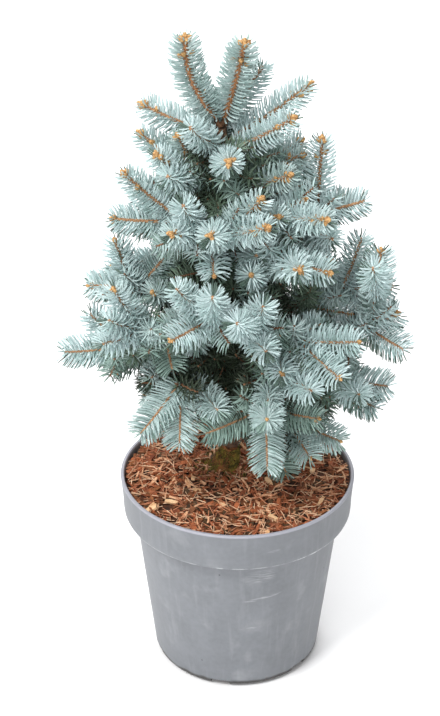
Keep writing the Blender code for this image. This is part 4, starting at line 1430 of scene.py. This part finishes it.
@dataclass
class Crown:
    """The boughs, twigs, needles and buds, dealt out over every limb.

    shoot_radius_mm and needle_length_mm each hold the size at the skirt and what it gains up to the
    leaders, and trunk_reach_mm the longest a trunk twig may be at the leaders and what that gains
    down to the skirt. skirt and depth are the crown's lowest height and how tall it is.
    """

    trunk: Trunk
    rule: GrowthRule = GrowthRule()
    buds: BudHabit = BudHabit()
    skirt: float = 0.26
    depth: float = 0.36
    skirt_reach: float = 0.165
    top_reach: float = 0.055
    tint_limits: tuple[float, ...] = (0.48, 0.32, 0.18, 0.04)
    shade: Span = (0.62, 0.3)
    shade_span: Span = (0.12, 0.5)
    shoot_radius_mm: Span = (1.15, 0.85)
    shoot_taper: float = 0.15 * MM
    leader_extra: float = 0.9 * MM
    leader_buds: int = 7
    bud_counts: tuple[int, ...] = (0, 1, 3, 4)
    needle_length_mm: Span = (20.4, -3.8)
    bough_radii: Triple = (4.3 * MM, 2.7 * MM, 1.9 * MM)
    bough_corners: int = 14
    inner_gap: float = 3.8 * MM
    inner_start: float = 12 * MM
    inner_span: Span = (0.16, 0.98)
    inner_turn: Span = (25, 85)
    mass_margin: float = 2 * MM
    clearing: float = 3 * MM
    twig_sunk: float = 0.6
    trunk_twigs: int = 190
    trunk_span: Span = (0.300, 0.545)
    trunk_reach_mm: Span = (40.0, 44.0)
    dead_twigs: int = 120
    dead_span: Span = (0.27, 0.5)
    dead_kink: float = 1.2 * MM
    seed: int = 8000
    sprigs: list[Sprig] = field(default_factory=list)
    boughs: MeshPile = field(default_factory=MeshPile)

    def share_up(self, height: float) -> float:
        """How far up the crown a height is, from 0 at the skirt to 1 at the leaders."""
        return float(np.clip((height - self.skirt) / self.depth, 0, 1))

    def inner_shade(self, tip: Array) -> float:
        """How much painted shade darkens an inner twig's tint against fresh growth, most of all low in the
        crown.
        """
        return float(np.interp(self.share_up(tip[2]), self.shade_span, self.shade))

    def tint_of(self, tip: Array, rng: Rng, shade: float = 0.0) -> Tint:
        """The tint of a spray that ends at a point: brighter further out and further up, as painted light and
        shade.

        Args:
            tip: Where the spray ends.
            rng: The seeded source of the differences between sprays.
            shade: How much further painted shade darkens it than fresh growth there.

        Returns:
            The tint.
        """
        share = self.share_up(tip[2])
        reach = self.top_reach + (self.skirt_reach - self.top_reach) * (1 - share)
        out = min(np.linalg.norm((tip - self.trunk.axis(float(tip[2])))[:2]) / reach, 1.15)
        # Painted light and shade: outer, higher sprays take lighter tints, deep and low ones darker.
        light = 0.55 * out + 0.06 * share + rng.normal(0, 0.07) - shade * (1.15 - out)
        for limit, tint in zip(self.tint_limits, (Tint.SILVER, Tint.BLUE, Tint.TEAL, Tint.GREEN)):
            if light > limit:
                return tint
        return Tint.SHADE

    def habit_of(self, tip: Array, growth: Growth) -> NeedleHabit:
        """How needles stand on a shoot, longer and more open lower in the crown."""
        if growth is Growth.LEADER:
            return LEADER_NEEDLES
        share = self.share_up(tip[2])
        length, gain = self.needle_length_mm
        return NeedleHabit(length=(length + gain * share) * MM, gather=0.52,
                           leans=(86.0, 72 + 4 * share, 64 + 4 * share, 60 + 2 * share, 48.0))

    def grow_limb(self, limb: Limb, number: int) -> None:
        """Grow a limb, its leading and side shoots and its inner twigs.

        Args:
            limb: The limb.
            number: Its place in the table, which its seeds come from.
        """
        rng = np.random.default_rng(self.rule.seed + number)
        detail = np.random.default_rng(self.seed + number)
        stem = self.rule.stem(limb, self.trunk)
        foot = self.rule.place_on(stem, stem, self.rule.lead_place)
        lead = self.rule.shoot(foot, *limb.lead, limb.curl)
        shoots = [(lead, Growth.LEADER if limb in LEADERS else Growth.SHOOT)]
        for place, heading, rise, length in self.rule.side_plan(limb, rng):
            start = self.rule.place_on(stem, lead, place)
            shoots.append((self.rule.shoot(start, heading, rise, length, self.rule.shoot_curl), Growth.SHOOT))
        for points, kind in shoots:
            self.add_shoot(points, kind, detail)
        self.add_limb_wood(limb, stem, detail)
        self.add_inner_twigs(limb, stem, detail)

    def add_shoot(self, points: Array, growth: Growth, rng: Rng) -> None:
        """Add a fresh shoot with its needles and buds.

        Args:
            points: Where it runs.
            growth: A leader or a shoot.
            rng: The seeded source of its buds and tint.
        """
        line = Line(points, 1.5 * MM)
        tip = line.points[-1]
        share = self.share_up(tip[2])
        leader = growth is Growth.LEADER
        buds = self.leader_buds if leader else int(rng.choice(self.bud_counts, p=self.bud_odds(share)))
        tint = self.tint_of(tip, rng)
        radius, gain = self.shoot_radius_mm
        radius = self.leader_extra * leader + (radius + gain * share) * MM
        self.sprigs.append(Sprig(line, growth, radius + self.shoot_taper, radius - self.shoot_taper,
                                 Tint.BLUE if leader else tint, self.habit_of(tip, growth), buds))

    @staticmethod
    def bud_odds(share: float) -> tuple[float, float, float, float]:
        """How likely each of bud_counts is, at a share of the way up the crown."""
        return (0.75 * (1 - share), 0.25 * (1 - share), 0.45 * share, 0.55 * share)

    def add_limb_wood(self, limb: Limb, stem: Array, rng: Rng) -> None:
        """Add the bough, where a limb has one, and the older twig past it, with old needles.

        Args:
            limb: The limb.
            stem: Where it runs.
            rng: The seeded source of its tint.
        """
        inward = stem[0] - bearing(limb.azimuth, 0) * 2.5 * MM
        line = Line(np.concatenate([[inward], stem[1:]]), 1.8 * MM)
        if limb.bough:
            share = np.linspace(0, 1, len(line.points))
            taper = np.interp(share, (0, self.rule.bough_share, 1), self.bough_radii)
            across = line.sides[:, None] * np.cos(turns(self.bough_corners))[None, :, None]
            spots = line.points[:, None] + across * taper[:, None, None]
            relief = 1 + 0.16 * ripple(spots, 8 * MM, 31) + 0.07 * ripple(spots, 3 * MM, 32)
            self.boughs.add(tube(line.points, line.sides[0], taper, self.bough_corners, relief))
        habit = OLD_NEEDLES if line.length >= 20 * MM else None
        # Old needles deep on the limb take the green tint six times in ten and otherwise the shade tint,
        # darker as painted shade.
        tint = Tint.GREEN if rng.uniform() < 0.6 else Tint.SHADE
        self.sprigs.append(Sprig(line, Growth.LIMB, (1.6 if limb.bough else 2.5) * MM, 1.8 * MM, tint, habit))

    def run_twig(self, start: Array, heading: float, habit: TwigHabit, rng: Rng,
                 reach: float = 1.0) -> Array:
        """Points along one short twig.

        Args:
            start: Where it starts.
            heading: Its heading, in degrees.
            habit: How it grows.
            rng: The seeded source of its rise and length.
            reach: A factor on its length.

        Returns:
            The points.
        """
        rise = rng.uniform(*habit.rise)
        return self.rule.shoot(start, heading, rise, rng.uniform(*habit.length) * reach, habit.curl)

    def add_twig(self, points: Array, habit: TwigHabit, rng: Rng) -> None:
        """Add one short twig, with needles in tints darkened as painted shade unless it is dead."""
        tint = self.tint_of(points[-1], rng, self.inner_shade(points[-1])) if habit.needles else None
        line = Line(points, habit.spacing)
        self.sprigs.append(Sprig(line, habit.growth, *habit.radii, tint, habit.needles))

    def add_inner_twigs(self, limb: Limb, stem: Array, rng: Rng) -> None:
        """Add the short shaded twigs along a limb, inside the reach of its mass.

        Args:
            limb: The limb.
            stem: Where it runs.
            rng: The seeded source of the twigs.
        """
        low, high = (np.array(corner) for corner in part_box("foliage_" + limb.name))
        first, last = self.inner_span
        line = Line(stem, 2 * MM)
        count = int((line.length - self.inner_start) / self.inner_gap)
        for number in range(count):
            place = first + (last - first) * (number + rng.uniform(0, 1)) / count
            start, way, _, _ = line.frame_at(min(place, last))
            turn = rng.uniform(*self.inner_turn) * (-1) ** number
            heading = math.degrees(math.atan2(way[1], way[0])) + turn
            points = self.run_twig(start, heading, INNER_TWIG, rng)
            tip = points[-1]
            inside = (tip >= low - self.mass_margin).all() and (tip <= high + self.mass_margin).all()
            if inside and (np.linalg.norm(CLEARINGS - tip, axis=1) >= self.clearing).all():
                self.add_twig(points, INNER_TWIG, rng)

    def add_trunk_twigs(self) -> None:
        """Add the short shaded twigs that grow on the trunk itself, between its limbs."""
        rng = np.random.default_rng(self.seed - 2)
        (low, high), (least, gain) = self.trunk_span, self.trunk_reach_mm
        for number in range(self.trunk_twigs):
            height = low + (high - low) * (number + rng.uniform(0, 1)) / self.trunk_twigs
            heading = math.degrees(number * GOLDEN_ANGLE) % 360
            start = self.trunk.surface(height, heading, self.twig_sunk)
            reach = least + gain * (1 - self.share_up(height))
            self.add_twig(self.run_twig(start, heading, TRUNK_TWIG, rng, reach), TRUNK_TWIG, rng)

    def add_dead_twigs(self) -> None:
        """Add bare dry twigs round the trunk, deep in the crown."""
        rng = np.random.default_rng(self.seed - 1)
        for _ in range(self.dead_twigs):
            height, heading = rng.uniform(*self.dead_span), rng.uniform(0, 360)
            start = self.trunk.surface(height, heading, self.twig_sunk)
            points = self.run_twig(start, heading, DEAD_TWIG, rng)
            points[1:] += rng.normal(0, self.dead_kink, points[1:].shape)
            self.add_twig(points, DEAD_TWIG, rng)

    def build_needles(self) -> None:
        """Join the needles of each tint into pieces of under about MOST_TRIANGLES triangles each."""
        masses = ["foliage_" + limb.name for limb in LEADERS + LIMBS]
        rng = np.random.default_rng(self.seed + 500)
        dealt = {tint: [MeshPile()] for tint in Tint}
        for sprig in (s for s in self.sprigs if s.habit):
            sides = sprig.habit.grow(sprig.line, sprig.tip_radius, rng)
            # Each spray's under side takes the darker under tint: painted shade.
            for tint, shape in zip((sprig.tint, sprig.tint.under()), sides):
                if dealt[tint][-1].triangles() > MOST_TRIANGLES - MOST_SPRAY_TRIANGLES:
                    dealt[tint].append(MeshPile())
                dealt[tint][-1].add(shape)
        for tint, piles in dealt.items():
            finish = tint.value.material()
            for number, pile in enumerate(piles):
                name = f"{tint.value.name}s_{number + 1}"
                join_to_body(pile.build(name, finish, 80.0), "needles", *masses)

    def build_wood(self, bark: Material) -> None:
        """Join the boughs, the twigs of each age and the dead twigs."""
        boughs = ["bough_" + limb.name for limb in LIMBS if limb.bough]
        join_to_body(self.boughs.build("bough_bark", bark, 70.0), "bark", *boughs)
        for name, growths, dark, light, patch in WOODS:
            pile = MeshPile()
            for sprig in (s for s in self.sprigs if s.growth in growths):
                pile.add(sprig.wood())
            finish = NaturalFinish(name[:-1], dark, light, patch, 3.6, 900.0, 2200.0)
            join_to_body(pile.build(name, finish.material(), 80.0), "bark")

    def build_buds(self) -> None:
        """Join the buds at the shoots' tips."""
        rng = np.random.default_rng(self.seed + 900)
        rows = [self.buds.cluster(sprig, rng) for sprig in self.sprigs if sprig.buds]
        shape = self.buds.shape(*(np.concatenate(part) for part in zip(*rows)))
        finish = NaturalFinish("bud_scale", rgb(132, 86, 46), rgb(218, 176, 118), 620.0, 4.2, 900.0, 2400.0)
        join_to_body(build_shape("tip_buds", shape, finish.material(), 50.0), "bark")

    def build(self, bark: Material) -> None:
        """Grow every limb, then build the joined pieces."""
        for number, limb in enumerate(LEADERS + LIMBS):
            self.grow_limb(limb, number)
        self.add_trunk_twigs()
        self.add_dead_twigs()
        self.build_wood(bark)
        self.build_needles()
        self.build_buds()


@dataclass(frozen=True)
class Moss:
    """Moss on the swollen foot of the trunk and on the compost beside it."""

    trunk: Trunk
    mulch: Mulch
    offset: Triple = (1 * MM, -4 * MM, 0)
    heights_mm: tuple[float, ...] = (-2, 2, 6, 11, 16, 21, 25, 29)
    radii_mm: tuple[float, ...] = (12.5, 12.8, 12.4, 11.6, 10.6, 9.6, 8.6, 7.4)
    lean: Triple = (0.26, -0.2, 1.0)
    corners: int = 28
    tufts: int = 3400
    tuft_reach: float = 27 * MM
    tuft_length_mm: Span = (1.4, 3.4)
    tuft_radii_mm: Span = (0.45, 0.3)
    on_lump: float = 0.6
    ground_mm: Span = (13.0, 31.0)
    seed: int = 6200

    def build(self) -> None:
        """The mossy lump at the trunk's foot, and tufts on it and on the ground round it."""
        heights, radii = (np.array(row) * MM for row in (self.heights_mm, self.radii_mm))
        lean = np.array(self.lean)
        foot = self.trunk.axis(self.trunk.foot[2])
        centre = foot + np.array(self.offset)
        line = centre + heights[:, None] * lean
        spots = line[:, None] + compass(turns(self.corners)) * radii[:, None, None]
        relief = 1 + 0.14 * ripple(spots, 14 * MM, 41) + 0.06 * ripple(spots, 5 * MM, 42)
        lump = tube(line, np.array((1.0, 0, 0)), radii, self.corners, relief)
        finish = NaturalFinish("mossy_bark", rgb(84, 52, 26), rgb(160, 104, 56), 220.0, 4.0,
                               500.0, 1800.0, 1.0 * MM)
        join_to_body(build_shape("mossy_foot", lump, finish.material(), 70.0), "bark")
        count, rng = self.tufts, np.random.default_rng(self.seed)
        around = rng.uniform(0, 2 * math.pi, count)
        level = (rng.uniform(0, 1, count) * self.tuft_reach)[:, None]
        on_lump = rng.uniform(size=count)[:, None] < self.on_lump
        radius = np.interp(level, heights, radii) * 0.98
        near, far = self.ground_mm
        out = compass(around, 0.35)
        apart = near + (far - near) * rng.uniform(0, 1, count) ** 1.5
        ground = foot[:2] + apart[:, None] * MM * out[:, :2]
        flat = np.concatenate([ground, (self.mulch.surface(ground) + 0.5 * MM)[:, None]], -1)
        feet = np.where(on_lump, centre + out * radius * (1, 1, 0) + level * lean, flat)
        ways = unit(np.where(on_lump, out, (0, 0, 1)) + 0.5 * rng.normal(size=(count, 3)))
        length = rng.uniform(*self.tuft_length_mm, count) * MM
        centres = feet[:, None] + ways[:, None] * (np.array((-0.15, 0.5, 1.0)) * length[:, None])[..., None]
        thick = np.array(self.tuft_radii_mm) * MM * rng.uniform(0.7, 1.3, (count, 1))
        tufts = sweep(centres, np.cross(ways, (0.2, 0.3, 0.9)), thick, 3)
        finish = NaturalFinish("moss_leaf", rgb(62, 62, 20), rgb(168, 148, 66), 180.0, 4.0)
        join_to_body(build_shape("moss_tufts", tufts, finish.material(), 60.0), "bark")


# The studio


@dataclass(frozen=True)
class SoftLight:
    """One square light: where it hangs, its width, its power in watts and what it faces."""

    name: str
    place: Triple
    size: float
    power: float
    aim: Triple = (0.0, 0.0, 0.33)

    def build(self) -> None:
        """Hang the light."""
        light = bpy.data.lights.new(self.name, "AREA")
        light.size = self.size
        light.energy = self.power
        made = bpy.data.objects.new(self.name, light)
        made.location = self.place
        made.rotation_euler = (Vector(self.aim) - Vector(self.place)).to_track_quat("-Z", "Y").to_euler()
        bpy.context.scene.collection.objects.link(made)


@dataclass(frozen=True)
class Studio:
    """A pale floor, soft light from all round and the camera."""

    lights: tuple[SoftLight, ...] = (
        SoftLight("key_light", (-1.9, -1.9, 3.8), 1.6, 182.0),
        SoftLight("top_light", (0.5, 0.2, 4.6), 3.2, 72.0),
        SoftLight("front_light", (-0.7, -3.4, 1.9), 1.8, 50.0),
        SoftLight("floor_light", (0.0, 2.8, 2.6), 2.4, 96.0, (0.0, 2.4, 0.0)),
    )
    air: Colour = rgb(250, 251, 255)
    air_strength: float = 0.29
    camera_place: Triple = (-0.0172, -1.4243, 1.1348)
    camera_tilt: float = 60.56
    lens: float = 86.65
    floor_half: float = 6.0
    floor_drop: float = 0.2 * MM

    def build(self) -> None:
        """Set up the floor, the lights, the air and the camera."""
        self.build_floor()
        for light in self.lights:
            light.build()
        scene, world = bpy.context.scene, bpy.data.worlds.new("studio_air")
        world.use_nodes = True
        background = world.node_tree.nodes["Background"]
        background.inputs["Color"].default_value = self.air
        background.inputs["Strength"].default_value = self.air_strength
        scene.world = world
        scene.view_settings.view_transform = "Standard"
        camera = bpy.data.objects.new("camera", bpy.data.cameras.new("camera"))
        camera.data.lens = self.lens
        camera.location = self.camera_place
        camera.rotation_euler = (math.radians(self.camera_tilt), 0, 0)
        scene.collection.objects.link(camera)
        scene.camera = camera

    def build_floor(self) -> None:
        """A wide pale floor."""
        half = self.floor_half
        corners = np.array([(-half, -half, 0), (half, -half, 0), (half, half, 0), (-half, half, 0)])
        finish = NaturalFinish("studio_floor", rgb(249, 249, 249), rgb(251, 251, 251), 3.0, 1.0, 60.0, 400.0,
                               0.02 * MM, 0.8)
        floor = build_shape("studio_floor", (corners, [np.array([(0, 1, 2, 3)])]), finish.material(), 60.0)
        floor.location.z = -self.floor_drop


def main() -> None:
    """Build the plant, its pot and the studio round them."""
    logging.basicConfig(level=logging.INFO, format="%(message)s")
    Studio().build()
    pot = Pot()
    pot.build()
    trunk = Trunk()
    mulch = Mulch(pot)
    mulch.build(trunk.axis(trunk.foot[2])[:2])
    bark = NaturalFinish("flaking_bark", rgb(58, 40, 30), rgb(126, 96, 72), 260.0, 4.0,
                         600.0, 1800.0, 0.8 * MM).material()
    trunk.build(bark)
    Crown(trunk).build(bark)
    Moss(trunk, mulch).build()


if __name__ == "__main__":
    main()
